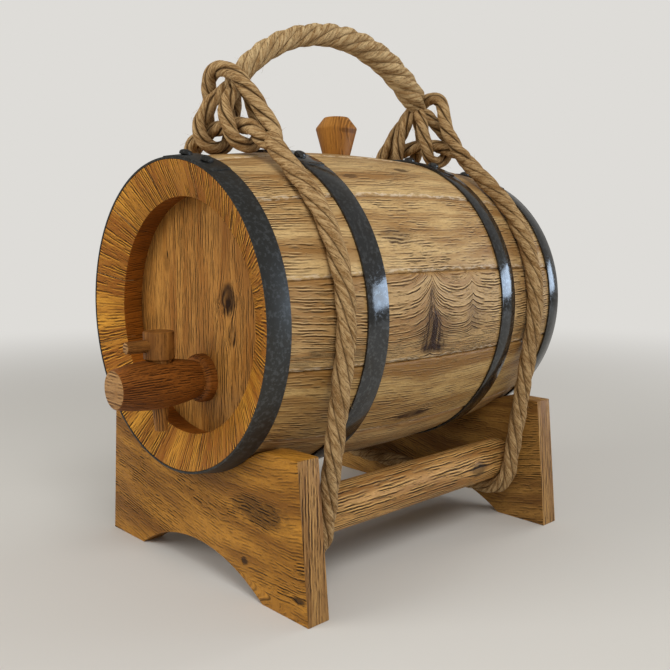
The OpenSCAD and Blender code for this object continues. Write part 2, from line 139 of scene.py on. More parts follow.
class Board:
    """A node tree that is wired by expressions."""

    def __init__(self, tree: bpy.types.NodeTree) -> None:
        """Empties the tree and keeps it."""
        self.tree = tree
        tree.nodes.clear()

    @classmethod
    def of_material(cls, name: str) -> tuple["Board", bpy.types.Material]:
        """Starts a new material.

        Args:
            name: the material's name.

        Returns:
            Its board and the material.
        """
        material = bpy.data.materials.new(name)
        material.use_nodes = True
        return cls(material.node_tree), material

    def node(self, kind: str, settings: dict[str, Any], sockets: dict[Any, Value], output: Any = 0) -> Wire:
        """Adds one node.

        Args:
            kind: the node's type, without its leading ShaderNode.
            settings: the node's own settings.
            sockets: values or wires by the socket's name or place.
            output: the output that the wire starts from.

        Returns:
            The wire from that output.
        """
        made = self.tree.nodes.new("ShaderNode" + kind)
        for name, value in settings.items():
            setattr(made, name, value)
        for key, value in sockets.items():
            if isinstance(value, Wire):
                self.tree.links.new(value.socket, made.inputs[key])
            else:
                made.inputs[key].default_value = value
        return Wire(self, made.outputs[output] if len(made.outputs) else None)

    def math(self, operation: str, *values: Value) -> Wire:
        """A Math node of that operation on these values."""
        return self.node("Math", {"operation": operation}, dict(enumerate(values)))

    def vector(self, x: Value, y: Value, z: Value) -> Wire:
        """Three values as one vector."""
        return self.node("CombineXYZ", {}, {0: x, 1: y, 2: z})

    def split(self, vector: Wire) -> tuple[Wire, Wire, Wire]:
        """The three values of a vector."""
        first = self.node("SeparateXYZ", {}, {0: vector})
        outputs = first.socket.node.outputs
        return first, Wire(self, outputs[1]), Wire(self, outputs[2])

    def attribute(self, name: str, output: str = "Vector") -> Wire:
        """The mesh's own attribute of that name."""
        return self.node("Attribute", {"attribute_name": name}, {}, output)

    def mix(self, share: Value, low: Value, high: Value) -> Wire:
        """A blend of two colours.

        Args:
            share: how much of the second colour shows.
            low: first colour.
            high: second colour.

        Returns:
            The blended colour.
        """
        settings = {"data_type": "RGBA", "blend_type": "MIX", "clamp_factor": True}
        return self.node("Mix", settings, {0: share, 6: low, 7: high}, 2)

    def noise(self, place: Wire, detail: float = 2.0, roughness: float = 0.5, scale: float = 1.0) -> Wire:
        """Smooth noise around a half.

        Args:
            place: where it is read, in the noise's own cells.
            detail: octaves.
            roughness: how strong the finer octaves are.
            scale: cells per unit.

        Returns:
            The noise's value.
        """
        sockets = {"Vector": place, "Scale": scale, "Detail": detail, "Roughness": roughness}
        return self.node("TexNoise", {}, sockets)

    def ease(self, value: Value, start: float, end: float, low: float = 0.0, high: float = 1.0) -> Wire:
        """A soft step between two limits.

        Args:
            value: what is measured.
            start: where the step starts.
            end: where it ends.
            low: result before the step.
            high: result after it.

        Returns:
            The stepped value.
        """
        sockets = {0: value, 1: start, 2: end, 3: low, 4: high}
        return self.node("MapRange", {"interpolation_type": "SMOOTHSTEP"}, sockets)

    def surface(self, sockets: dict[str, Value]) -> None:
        """Ends the tree in a principled shader with these sockets."""
        shader = self.node("BsdfPrincipled", {}, sockets)
        self.node("OutputMaterial", {}, {"Surface": shader})

    def bump(self, height: Wire, depth: float) -> Wire:
        """A normal that follows a height between 0 and 1, that deep in metres."""
        return self.node("Bump", {}, {"Strength": 1.0, "Distance": depth, "Height": height})


@dataclass(frozen=True)
class Speckle:
    """A noise laid along a piece: cells per unit in three directions, octaves and how strong they are."""

    along: float
    across: float
    deep: float
    detail: float = 2
    strength: float = 0.6

    def read(self, board: Board, along: Value, across: Value, deep: Value = 0.0) -> Wire:
        """Its value at a place."""
        cells = board.vector(along * self.along, across * self.across, deep * self.deep)
        return board.noise(cells, self.detail, self.strength)


class Reading(Enum):
    """Where a wood finish takes the directions of its grain from."""

    LAID = "laid on the mesh"
    OBJECT = "object coordinates"


@dataclass(frozen=True)
class Knot:
    """A knot that the grain flows round.

    The place and the half sizes are in metres along and across the piece's own grain.
    """

    along: float
    across: float
    length: float
    width: float
    dark: float = 0.8
    push: float = 0.9
    eye: float = 0.0


@dataclass(frozen=True)
class Flame:
    """A crotch figure: stacked chevrons that point across the grain, with a dark heart."""

    along: float
    low: float
    high: float
    rise: float
    width: float
    dark: float = 0.7


# The pale tint of the painted highlight along the staves' lower edges.
LIP_HIGHLIGHT = tint(238, 222, 196)
SLOW = Speckle(8, 20, 20, strength=0.5)
QUICK = Speckle(70, 110, 110)
CLOUD = Speckle(12, 26, 26, 3)
BANDS = Speckle(9, 70, 40, 3)
FLECK = Speckle(420, 900, 900)
BREAKS = Speckle(1, 7.7, 40)
# Specks that break up the painted highlight along the staves' lower edges.
LIP_HIGHLIGHT_SPECKS = Speckle(190, 600, 0)
KNOT_RAGS = Speckle(130, 130, 0, 3)
FLAME_SWAY = Speckle(60, 60, 0, strength=0.5)
FLAME_TEAR = Speckle(420, 130, 0, 3)
FLAME_FIBRE = Speckle(5, 35, 0)
JUTE_FIBRE = Speckle(380, 1700, 9, 3, 0.7)
JUTE_YARN = Speckle(30, 640, 5, 3)
JUTE_CLOUD = Speckle(150, 220, 7, 3)
JUTE_FUZZ = Speckle(1000, 1000, 3)


@dataclass(frozen=True)
class Oak:
    """Oak whose growth lines and pores follow the grain laid on each piece.

    The gaps and shifts are in metres, and the shares run from 0 to 1.
    """

    name: str
    pale: Colour
    warm: Colour
    dark: Colour
    line: float = 0.7
    line_gap: float = 2.1 * MM
    dash: float = 14 * MM
    sway: float = 9 * MM
    wave: float = 1.6 * MM
    busy: float = 0.5
    pore: float = 0.6
    relief: float = 0.3 * MM
    roughness: float = 0.5
    gloss: float = 0.2
    vary: float = 0.0
    seam: float = 0.0
    lip: float = 0.0
    lip_stop: float = 132 * MM
    lip_fade: float = 6 * MM
    knots: tuple[Knot, ...] = ()
    flames: tuple[Flame, ...] = ()
    reading: Reading = Reading.LAID

    def material(self) -> bpy.types.Material:
        """Makes the node material.

        Returns:
            The material.
        """
        board, material = Board.of_material(self.name)
        along, across, deep, seed = self._directions(board)
        bent, heart = self._figure(board, along, across)
        run, depth = along + seed * 3.1, deep + seed * 1.7
        slow = SLOW.read(board, run, across, depth) - 0.5
        quick = QUICK.read(board, run, across, depth) - 0.5
        lined = bent + slow * self.sway + quick * self.wave + depth * 0.6
        cloud = CLOUD.read(board, run, across, depth)
        zone = board.ease(cloud + heart * 0.5, 0.64 - self.busy * 0.4, 0.74 - self.busy * 0.3)
        strong = 0.45 + zone * 0.55
        count = lined / self.line_gap
        streak, painted_highlight = self._dashes(board, count, run / self.dash, depth, 0.44)
        pore, glint = self._dashes(board, count * 2.3 + 0.4, run * (2.6 / self.dash), depth, 0.5)
        # The pale bands that come back beside the lines and the pores are painted highlights.
        streak, pore, painted_highlight = streak * strong, pore * strong, (painted_highlight * 0.5 + glint * 0.3) * strong
        bands = BANDS.read(board, run, lined, depth)
        fleck = FLECK.read(board, run, lined, depth)
        colour = board.mix(board.ease(bands, 0.32, 0.68), self.pale, self.warm)
        colour = board.mix(board.ease(fleck, 0.4, 0.7) * 0.3, colour, self.warm)
        colour = board.mix(zone * 0.3, colour, self.warm)
        if self.vary:
            colour = board.mix(board.math("FRACT", seed * 5.87) * self.vary, colour, self.warm)
        colour = board.mix(streak * self.line, colour, self.dark)
        colour = board.mix(pore * self.pore, colour, self.dark)
        # Painted highlights beside the dark lines stand in for light caught on the grain's relief.
        colour = board.mix(painted_highlight, colour, self.light)
        colour = board.mix(heart, colour, self.dark)
        if self.seam:
            edge = board.ease(board.math("ABSOLUTE", across), self.seam - 0.9 * MM, self.seam - 0.2 * MM)
            colour = board.mix(edge * 0.8, colour, self.dark)
        # A painted highlight of pale specks along each stave's lower edge, and a darker brown band along its
        # upper edge.
        if self.lip:
            colour = self._paint_lip_highlight(board, colour, along, across)
        height = 1 - streak * 0.6 - pore * 0.4 - heart * 0.2 + (cloud - 0.5) * 0.4 + (fleck - 0.5) * 0.3
        board.surface({
            "Base Color": colour,
            "Roughness": self.roughness + streak * 0.15 + (cloud - 0.5) * 0.3,
            "Specular IOR Level": self.gloss,
            "Normal": board.bump(height, self.relief),
        })
        return material

    @property
    def light(self) -> Colour:
        """The tint of the painted highlights beside the lines."""
        red, green, blue, _ = self.pale
        return min(1, red * 1.4), min(1, green * 1.4), min(1, blue * 1.5), 1.0

    def _paint_lip_highlight(self, board: Board, colour: Wire, along: Wire, across: Wire) -> Wire:
        """Paints a speckled highlight along a stave's lower edge and leaves its upper edge darker brown.

        Args:
            board: the tree.
            colour: the wood's colour.
            along: place along the grain.
            across: place across it.

        Returns:
            The colour with the painted highlight.
        """
        speck = LIP_HIGHLIGHT_SPECKS.read(board, along, across)
        # Painted highlight: pale specks along the lower edge, faded out towards the stave's ends.
        painted_light = board.ease(across, 4 * MM - self.lip, 1.6 * MM - self.lip) * board.ease(speck, 0.44, 0.62)
        painted_light = painted_light * board.ease(board.math("ABSOLUTE", along), self.lip_stop, self.lip_stop - self.lip_fade)
        brown = board.ease(across, self.lip - 4.2 * MM, self.lip - 2.6 * MM)
        return board.mix(painted_light * 0.5, board.mix(brown * 0.55, colour, self.warm), LIP_HIGHLIGHT)

    @staticmethod
    def _dashes(board: Board, count: Wire, run: Wire, depth: Wire, least: float) -> tuple[Wire, Wire]:
        """Lines that break into dashes, each line in its own places.

        Args:
            board: the tree.
            count: place across the lines, in gaps between them.
            run: place along them, in lengths of a dash.
            depth: place into the wood.
            least: how much of each line is left out, from 0 to 1.

        Returns:
            How dark each line is and how strong the painted highlight beside it is, from 0 to 1.
        """
        number = board.math("FLOOR", count)
        ring = count - number
        line = board.ease(ring, 0.0, 0.2) * board.ease(ring, 0.7, 0.3)
        broken = BREAKS.read(board, run, number, depth)
        kept = board.ease(broken, least, least + 0.14)
        # This pale band beside each line is a painted highlight.
        beside = board.ease(ring, 0.62, 0.8) * board.ease(ring, 1.0, 0.9)
        return line * kept, beside * kept

    def _directions(self, board: Board) -> tuple[Wire, Wire, Wire, Value]:
        """The place along, across and into the grain, and the piece's own seed."""
        if self.reading is Reading.OBJECT:
            place = board.node("TexCoord", {}, {}, "Object")
            across, along, deep = board.split(place)
            return along, across, deep, 0.5
        along, across, deep = board.split(board.attribute("grain"))
        return along, across, deep, board.attribute("seed", "Fac")

    def _figure(self, board: Board, along: Wire, across: Wire) -> tuple[Wire, Wire]:
        """Bends the lines round the knots and flames.

        Args:
            board: the tree.
            along: place along the grain.
            across: place across it.

        Returns:
            The bent place across the grain, and how dark each heart is.
        """
        bent = across + 0.0
        heart = across * 0.0
        ragged = (KNOT_RAGS.read(board, along, across) - 0.5) * 0.9
        for knot in self.knots:
            far = (along - knot.along) / knot.length + ragged
            side = (across - knot.across) / knot.width + ragged
            near = board.math("EXPONENT", -(far * far + side * side))
            bent = bent - (across - knot.across) * near * knot.push
            heart = heart + (board.ease(near, 0.3, 0.8) - board.ease(near, 0.75, 1.0) * knot.eye) * knot.dark
        for flame in self.flames:
            sway = FLAME_SWAY.read(board, along, across) - 0.5
            off = along - flame.along + sway * 0.8 * flame.width
            far = board.math("ABSOLUTE", off)
            grown = board.ease(across, flame.low - 8 * MM, flame.low + 9 * MM)
            bent = bent + (1 - board.math("EXPONENT", far * (-1 / flame.width))) * grown * flame.rise
            thick = board.ease(across, flame.high, flame.low, 0.2, 1.5) * flame.width
            inside = board.ease(across, flame.low - 3 * MM, flame.low + 3 * MM)
            inside = inside * board.ease(across, flame.high, flame.high - 8 * MM)
            torn = FLAME_TEAR.read(board, along, across)
            fibre = FLAME_FIBRE.read(board, off / thick, across)
            spine = board.ease(far / thick + (torn - 0.5) * 1.2, 1.1, 0.4) * inside
            spine = spine * (0.3 + board.ease(fibre, 0.4, 0.6) * 0.7)
            heart = heart + spine * flame.dark
        return bent, heart


@dataclass(frozen=True)
class BlackSteel:
    """Blackened strip steel with a fine fleck."""

    name: str
    base: Colour = tint(76, 77, 78)
    fleck: Colour = tint(116, 119, 120)
    rust: Colour = tint(66, 62, 56)
    roughness: float = 0.12
    relief: float = 0.06 * MM
    grit_scale: float = 420
    cloud_scale: float = 70
    dent_scale: float = 160

    def material(self) -> bpy.types.Material:
        """Makes the node material.

        Returns:
            The material.
        """
        board, material = Board.of_material(self.name)
        place = board.node("TexCoord", {}, {}, "Object")
        grit = board.noise(place, 3, 0.6, self.grit_scale)
        cloud = board.noise(place, 3, 0.6, self.cloud_scale)
        dent = board.noise(place, 2, 0.5, self.dent_scale)
        flecks = board.ease(grit, 0.48, 0.66)
        colour = board.mix(board.ease(cloud, 0.4, 0.7) * 0.5, self.base, self.rust)
        colour = board.mix(flecks * 0.4, colour, self.fleck)
        board.surface({
            "Base Color": colour,
            "Metallic": 0.85,
            "Roughness": self.roughness + (cloud - 0.5) * 0.1 + flecks * 0.1,
            "Normal": board.bump(dent * 0.6 + grit * 0.4, self.relief),
        })
        return material


@dataclass(frozen=True)
class Jute:
    """Laid jute: dull tan yarn, with painted shade in the lay's grooves."""

    name: str
    pale: Colour = tint(206, 178, 132)
    warm: Colour = tint(150, 116, 74)
    dark: Colour = tint(62, 40, 20)
    slant: float = 0.45
    relief: float = 0.9 * MM

    def material(self) -> bpy.types.Material:
        """Makes the node material.

        Returns:
            The material.
        """
        board, material = Board.of_material(self.name)
        length, around, crown = board.split(board.attribute("lay"))
        seed = board.attribute("seed", "Fac")
        slant = around + length * self.slant
        fibre = JUTE_FIBRE.read(board, length, slant, seed)
        yarn = JUTE_YARN.read(board, length, slant, seed)
        cloud = JUTE_CLOUD.read(board, length, around, seed)
        fuzz = JUTE_FUZZ.read(board, length, around, seed)
        colour = board.mix(board.ease(yarn, 0.38, 0.6), self.warm, self.pale)
        colour = board.mix(board.ease(cloud, 0.45, 0.62) * 0.4, colour, self.warm)
        colour = board.mix(board.ease(fuzz, 0.45, 0.65) * 0.35, colour, self.pale)
        colour = board.mix(board.ease(fibre, 0.48, 0.34) * 0.7, colour, self.dark)
        # Painted shade: darker towards the grooves between the strands.
        colour = board.mix(board.ease(crown, 0.72, 0.4) * 0.9, colour, self.dark)
        board.surface({
            "Base Color": colour,
            "Roughness": 0.92,
            "Specular IOR Level": 0.15,
            "Normal": board.bump(fibre * 0.6 + yarn * 0.8 + fuzz * 0.35, self.relief),
        })
        return material


@dataclass(frozen=True)
class PaleFloor:
    """A plain pale studio floor."""

    name: str
    ground: Colour
    base: Colour = tint(214, 211, 205)
    cloud: Colour = tint(200, 196, 190)
    fade_from: float = 0.45
    fade_to: float = 1.5

    def material(self) -> bpy.types.Material:
        """Makes the node material, which fades into the pale ground far from the keg.

        Returns:
            The material.
        """
        board, material = Board.of_material(self.name)
        place = board.node("TexCoord", {}, {}, "Object")
        cloud = board.noise(place, 3, 0.5, 3)
        colour = board.mix(board.ease(cloud, 0.3, 0.7) * 0.05, self.base, self.cloud)
        dull = {"Base Color": colour, "Roughness": 0.65, "Specular IOR Level": 0.0}
        shader = board.node("BsdfPrincipled", {}, dull)
        ground = board.node("Emission", {}, {"Color": self.ground, "Strength": 1.0})
        away = board.node("VectorMath", {"operation": "LENGTH"}, {0: place}, "Value")
        seen = board.node("LightPath", {}, {}, "Is Camera Ray")
        faded = board.ease(away, self.fade_from, self.fade_to) * seen
        both = board.node("MixShader", {}, {0: faded, 1: shader, 2: ground})
        board.node("OutputMaterial", {}, {"Surface": both})
        return material


class Part(Enum):
    """What a selection in edit mode is made of."""

    VERTEX = "VERT"
    EDGE = "EDGE"


class Bench:
    """Models one mesh with operators. It stays in edit mode until it is done."""

    def __init__(self, name: str, primitive: str, **settings: Any) -> None:
        """Adds a primitive and opens it for editing.

        Args:
            name: the piece's name.
            primitive: the primitive's kind.
            **settings: its sizes and place.
        """
        bpy.ops.object.select_all(action="DESELECT")
        getattr(bpy.ops.mesh, f"primitive_{primitive}_add")(**settings)
        bpy.ops.object.transform_apply(location=True, rotation=True, scale=True)
        self.piece = bpy.context.object
        self.piece.name = name
        self.piece.data.name = name
        bpy.ops.object.mode_set(mode="EDIT")
        bpy.ops.mesh.select_mode(type="VERT")
        bpy.ops.mesh.select_all(action="SELECT")

    @classmethod
    def line(cls, name: str, points: Sequence[Point]) -> "Bench":
        """Draws an open line by extruding one vertex from point to point.

        Args:
            name: the piece's name.
            points: the line's points.

        Returns:
            The bench, with the whole line selected.
        """
        bench = cls(name, "plane", size=1.0)
        bpy.ops.mesh.merge(type="CENTER")
        bpy.ops.transform.translate(value=points[0])
        for before, after in zip(points, points[1:]):
            step = Vector(after) - Vector(before)
            bpy.ops.mesh.extrude_vertices_move(TRANSFORM_OT_translate={"value": step})
        bpy.ops.mesh.select_all(action="SELECT")
        return bench

    @classmethod
    def turned(cls, name: str, outline: Sequence[Point], centre: Point, axis: Point,
               steps: int = 48) -> "Bench":
        """Turns an outline on a lathe.

        Args:
            name: the piece's name.
            outline: pairs of place along the axis and radius.
            centre: a point on the axis; the place is measured from it.
            axis: the axis, along Y or Z.
            steps: faces round the piece.

        Returns:
            The bench with the turned shell, merged and facing outwards.
        """
        along, middle = Vector(axis), Vector(centre)
        out = Vector((1, 0, 0))
        bench = cls.line(name, [middle + along * place + out * radius for place, radius in outline])
        bpy.ops.mesh.spin(steps=steps, angle=2 * math.pi, center=centre, axis=axis)
        return bench.clean()

    def clean(self) -> "Bench":
        """Merges doubles and turns every face outwards."""
        bpy.ops.mesh.select_all(action="SELECT")
        bpy.ops.mesh.remove_doubles(threshold=0.002 * MM)
        bpy.ops.mesh.normals_make_consistent(inside=False)
        return self

    def pick(self, part: Part, test: Callable[[Vector], bool]) -> "Bench":
        """Selects what has its middle where a test says.

        Args:
            part: vertices or edges.
            test: says of a point whether it is wanted.

        Returns:
            The bench.
        """
        bpy.ops.mesh.select_mode(type=part.value)
        bpy.ops.mesh.select_all(action="DESELECT")
        mesh = bmesh.from_edit_mesh(self.piece.data)
        groups = {Part.VERTEX: mesh.verts, Part.EDGE: mesh.edges}
        for item in groups[part]:
            corners = [item.co] if part is Part.VERTEX else [corner.co for corner in item.verts]
            if test(sum(corners, Vector()) / len(corners)):
                item.select_set(True)
        mesh.select_flush_mode()
        bmesh.update_edit_mesh(self.piece.data)
        return self

    def bevel(self, width: float, segments: int = 3) -> "Bench":
        """Rounds the selected edges."""
        bpy.ops.mesh.bevel(offset=width, segments=segments, affect="EDGES", clamp_overlap=True)
        return self

    def bevel_sharp(self, width: float, limit: float = 40.0, segments: int = 3,
                    test: Callable[[Vector], bool] = lambda middle: True) -> "Bench":
        """Rounds the edges whose two faces meet at more than an angle.

        Args:
            width: the rounding.
            limit: the angle in degrees.
            segments: faces across the rounding.
            test: leaves out edges whose middle it doesn't pass.

        Returns:
            The bench.
        """
        bpy.ops.mesh.select_mode(type="EDGE")
        bpy.ops.mesh.select_all(action="DESELECT")
        mesh = bmesh.from_edit_mesh(self.piece.data)
        for edge in mesh.edges:
            middle = (edge.verts[0].co + edge.verts[1].co) / 2
            if edge.is_manifold and edge.calc_face_angle(0.0) > math.radians(limit) and test(middle):
                edge.select_set(True)
        bmesh.update_edit_mesh(self.piece.data)
        return self.bevel(width, segments)

    def cut(self, point: Point, normal: Point, fill: bool = False) -> "Bench":
        """Cuts off what lies past a plane."""
        bpy.ops.mesh.select_all(action="SELECT")
        bpy.ops.mesh.bisect(plane_co=point, plane_no=normal, clear_outer=True, use_fill=fill)
        return self

    def spin(self, steps: int, angle: float, centre: Point, axis: Point) -> "Bench":
        """Sweeps all of the mesh round an axis, by an angle in degrees."""
        bpy.ops.mesh.select_all(action="SELECT")
        bpy.ops.mesh.spin(steps=steps, angle=math.radians(angle), center=centre, axis=axis)
        return self

    def extrude(self, step: Point) -> "Bench":
        """Fills the drawn outline and pulls it into a solid."""
        bpy.ops.mesh.select_all(action="SELECT")
        bpy.ops.mesh.edge_face_add()
        bpy.ops.mesh.extrude_region_move(TRANSFORM_OT_translate={"value": step})
        return self

    def done(self, smooth: float = 35.0) -> bpy.types.Object:
        """Ends the editing.

        Args:
            smooth: edges flatter than this many degrees are shaded smooth.

        Returns:
            The finished object.
        """
        self.clean()
        bpy.ops.object.mode_set(mode="OBJECT")
        bpy.ops.object.shade_smooth_by_angle(angle=math.radians(smooth))
        return self.piece


def copy_piece(piece: bpy.types.Object, name: str, move: Matrix) -> bpy.types.Object:
    """Copies a piece with its own mesh.

    Args:
        piece: what is copied.
        name: the copy's name.
        move: where the copy's mesh goes.

    Returns:
        The copy.
    """
    twin = piece.copy()
    twin.data = piece.data.copy()
    twin.name = twin.data.name = name
    twin.data.transform(move)
    bpy.context.scene.collection.objects.link(twin)
    return twin


def join(pieces: Sequence[bpy.types.Object], name: str) -> bpy.types.Object:
    """Joins several objects into the first, under one name."""
    bpy.ops.object.select_all(action="DESELECT")
    for piece in pieces:
        piece.select_set(True)
    bpy.context.view_layer.objects.active = pieces[0]
    bpy.ops.object.join()
    pieces[0].name = pieces[0].data.name = name
    return pieces[0]


def carve(piece: bpy.types.Object, cutter: bpy.types.Object) -> bpy.types.Object:
    """Cuts one closed mesh out of another and removes the cutter."""
    bpy.ops.object.select_all(action="DESELECT")
    piece.select_set(True)
    bpy.context.view_layer.objects.active = piece
    cut = piece.modifiers.new("cut", "BOOLEAN")
    cut.operation = "DIFFERENCE"
    cut.solver = "EXACT"
    cut.object = cutter
    bpy.ops.object.modifier_apply(modifier=cut.name)
    bpy.data.objects.remove(cutter)
    return piece


def lay_grain(piece: bpy.types.Object, rule: Callable[[np.ndarray, np.ndarray], np.ndarray],
              seed: float) -> None:
    """Lays the directions of the wood on each corner of a mesh.

    Args:
        piece: the wooden piece.
        rule: gives the place along, across and into the grain from points and face normals.
        seed: sets which part of the timber the piece is cut from.
    """
    mesh = piece.data
    count = len(mesh.loops)
    owner = np.empty(count, np.int32)
    mesh.loops.foreach_get("vertex_index", owner)
    points = np.empty(len(mesh.vertices) * 3)
    mesh.vertices.foreach_get("co", points)
    normals = np.empty(len(mesh.polygons) * 3)
    mesh.polygons.foreach_get("normal", normals)
    totals = np.empty(len(mesh.polygons), np.int32)
    mesh.polygons.foreach_get("loop_total", totals)
    corners = points.reshape(-1, 3)[owner]
    facing = np.repeat(normals.reshape(-1, 3), totals, axis=0)
    grain = mesh.attributes.new("grain", "FLOAT_VECTOR", "CORNER")
    grain.data.foreach_set("vector", rule(corners, facing).astype(np.float32).ravel())
    cut = mesh.attributes.new("seed", "FLOAT", "CORNER")
    cut.data.foreach_set("value", np.full(count, seed, np.float32))


def dress(piece: bpy.types.Object, node: str, body: str, slot: str,
          *materials: bpy.types.Material) -> bpy.types.Object:
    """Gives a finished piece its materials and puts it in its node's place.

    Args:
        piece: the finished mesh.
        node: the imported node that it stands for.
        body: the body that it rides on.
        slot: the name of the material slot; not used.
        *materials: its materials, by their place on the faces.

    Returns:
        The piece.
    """
    piece.data.materials.clear()
    for material in materials:
        piece.data.materials.append(material)
    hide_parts(node)
    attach(piece, body)
    LOG.info("%s: %d faces on %s", piece.name, len(piece.data.polygons), body)
    return piece


def choose_faces(piece: bpy.types.Object, rule: Callable[[bpy.types.MeshPolygon], int]) -> None:
    """Gives each face the material whose place a rule names."""
    for face in piece.data.polygons:
        face.material_index = int(rule(face))


@dataclass
class Barrel:
    """Twelve staves, two heads of three boards and four riveted hoops."""

    stave_count: int = 12
    stave_t: float = 23.5 * MM
    end_r: float = 97 * MM
    chime_slant: float = 10.2 / 23.5
    seam_round: float = 2.3 * MM
    hoop_t: float = 1.5 * MM
    lap_mid: float = 77.0
    lap_angle: float = 30.0
    rivet_spread: float = 6.5
    rivet_r: float = 4 * MM
    rivet_h: float = 2 * MM
    rivet_foot: float = 1.2 * MM
    hoop_round: float = 0.35 * MM
    lap_inset: float = 0.2 * MM
    lap_sink: float = 0.5
    lap_share: float = 0.85
    overshoot: float = 8 * MM
    seam_stop: float = 8 * MM
    lip_round: float = 0.7 * MM
    lip_reach: float = 14 * MM
    chime_reach: float = 16 * MM
    board_round: float = 0.3 * MM
    hole_room: float = 0.2 * MM
    hole_low: float = 3 * MM
    hole_high: float = 4 * MM
    hole_wide_r: float = 10.4 * MM
    stave_seed: float = 0.31
    stave_step: float = 0.417
    head_seed: float = 2.2
    head_step: float = 0.05
    rear_step: float = 3.0
    y_axis: Point = (0, 1, 0)
    mid: float = field(init=False)
    half: float = field(init=False)
    axis_z: float = field(init=False)
    belly_r: float = field(init=False)
    arc_r: float = field(init=False)

    def __post_init__(self) -> None:
        """Reads the barrel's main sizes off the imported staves."""
        low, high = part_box("stave_10")
        self.mid = (low.y + high.y) / 2
        self.half = (high.y - low.y) / 2
        self.axis_z = (low.z + high.z) / 2
        self.belly_r = high.x
        sag = self.belly_r - self.end_r
        self.arc_r = (self.half ** 2 + sag ** 2) / (2 * sag)

    def outer_r(self, away: float) -> float:
        """The radius at a distance from the middle, along the axis."""
        return self.belly_r - self.arc_r + math.sqrt(self.arc_r ** 2 - away ** 2)

    @property
    def centre(self) -> Vector:
        """The middle of the barrel."""
        return Vector((0, self.mid, self.axis_z))

    def polar(self, points: np.ndarray) -> tuple[np.ndarray, np.ndarray, np.ndarray]:
        """Place along the axis, angle in radians from +X towards +Z, and radius of points."""
        x, z = points[:, 0], points[:, 2] - self.axis_z
        return points[:, 1] - self.mid, np.arctan2(z, x), np.hypot(x, z)

    def model_stave(self, name: str) -> bpy.types.Object:
        """Models one stave at the top of the barrel.

        Args:
            name: the piece's name.

        Returns:
            The stave.
        """
        turn = 360 / self.stave_count
        reach = math.degrees(math.asin((self.half + self.overshoot) / self.arc_r))
        hub = Vector((0, self.mid, self.axis_z + self.belly_r - self.arc_r))
        lean = math.radians(reach)
        start = Vector((0, -math.sin(lean), math.cos(lean)))
        outer, inner = hub + start * self.arc_r, hub + start * (self.arc_r - self.stave_t)
        bench = Bench.line(name, [inner, outer])
        bench.spin(28, 2 * reach, hub, (1, 0, 0))
        for side in (-1, 1):
            rim = self.centre + Vector((0, side * self.half, self.end_r))
            bench.cut(rim, (0, side, -self.chime_slant))
        bench.spin(10, turn, self.centre, self.y_axis)
        bpy.ops.mesh.select_all(action="SELECT")
        bpy.ops.transform.rotate(value=-math.radians(turn / 2), orient_axis="Y", center_override=self.centre)
        bench.clean()
        bench.pick(Part.EDGE, self._on_seam)
        bench.bevel(self.seam_round, 4)
        bench.bevel_sharp(self.lip_round, 50, 2, lambda p: abs(p.y - self.mid) > self.half - self.lip_reach)
        return bench.done()

    def _on_seam(self, middle: Vector) -> bool:
        """Whether an edge's middle lies on a long outer edge of the stave at the top."""
        away = middle.y - self.mid
        angle = math.degrees(math.atan2(middle.z - self.axis_z, middle.x))
        radius = math.hypot(middle.x, middle.z - self.axis_z)
        on_side = abs(abs(angle - 90) - 180 / self.stave_count) < 0.2
        return on_side and abs(away) < self.half - self.seam_stop and radius > self.outer_r(away) - 1 * MM

    def stave_grain(self, angle: float) -> Callable[[np.ndarray, np.ndarray], np.ndarray]:
        """The grain of the stave centred at an angle in degrees: lengthwise, and radial on its ends."""
        def rule(points: np.ndarray, normals: np.ndarray) -> np.ndarray:
            """The grain at these points."""
            along, turn, radius = self.polar(points)
            off = np.angle(np.exp(1j * (turn - math.radians(angle))))
            ends = np.abs(normals[:, 1]) > ENDWISE
            deep = np.where(ends, END_DEPTH, radius)
            return np.stack([np.where(ends, radius, along), off * self.belly_r, deep], axis=1)
        return rule

    def build_staves(self, plain: Oak, chime: Oak, inner: Oak, figured: dict[str, Oak]) -> None:
        """Builds the ring of staves.

        Args:
            plain: the finish of most staves.
            chime: the finish of the staves' ends.
            inner: the finish of their inner side.
            figured: finishes of the staves with knots, by node.
        """
        plain_look, chime_look, inner_look = plain.material(), chime.material(), inner.material()
        pattern = self.model_stave("stave_pattern")
        turn = 360 / self.stave_count
        for number in range(self.stave_count):
            node = "bung_stave" if number == 0 else f"stave_{number + 1:02d}"
            angle = 90 + turn * number
            spin = Matrix.Rotation(-math.radians(turn * number), 4, "Y")
            place = Matrix.Translation(self.centre) @ spin @ Matrix.Translation(-self.centre)
            stave = copy_piece(pattern, node + LOOK, place)
            if number == 0:
                stave = carve(stave, self.bung_hole())
            lay_grain(stave, self.stave_grain(angle), self.stave_seed + number * self.stave_step)
            look = figured[node].material() if node in figured else plain_look
            dress(stave, node, "keg", "stave_oak", look, chime_look, inner_look)
            choose_faces(stave, self.side_of)
        bpy.data.objects.remove(pattern)

    def side_of(self, face: bpy.types.MeshPolygon) -> int:
        """Which of a stave's finishes a face takes: 0 outside, 1 on the ends, 2 on the inner side."""
        if abs(face.normal.y) > HALFWAY and abs(face.center.y - self.mid) > self.half - self.chime_reach:
            return 1
        outward = Vector((face.center.x, 0, face.center.z - self.axis_z)).normalized()
        return 2 if face.normal.dot(outward) < -HALFWAY else 0

    def bung_hole(self) -> bpy.types.Object:
        """The tapered hole of the bung, a little wider than the bung."""
        low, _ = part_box("bung")
        seat = self.centre.z + self.belly_r - low.z
        past = seat + self.hole_high
        outline = [(-self.hole_low, 0), (-self.hole_low, Bung.tip_r), (seat, Bung.seat_r + self.hole_room),
                   (past, self.hole_wide_r + self.hole_room), (past, 0)]
        return Bench.turned("hole", outline, (0, self.mid, low.z), (0, 0, 1), 40).done()

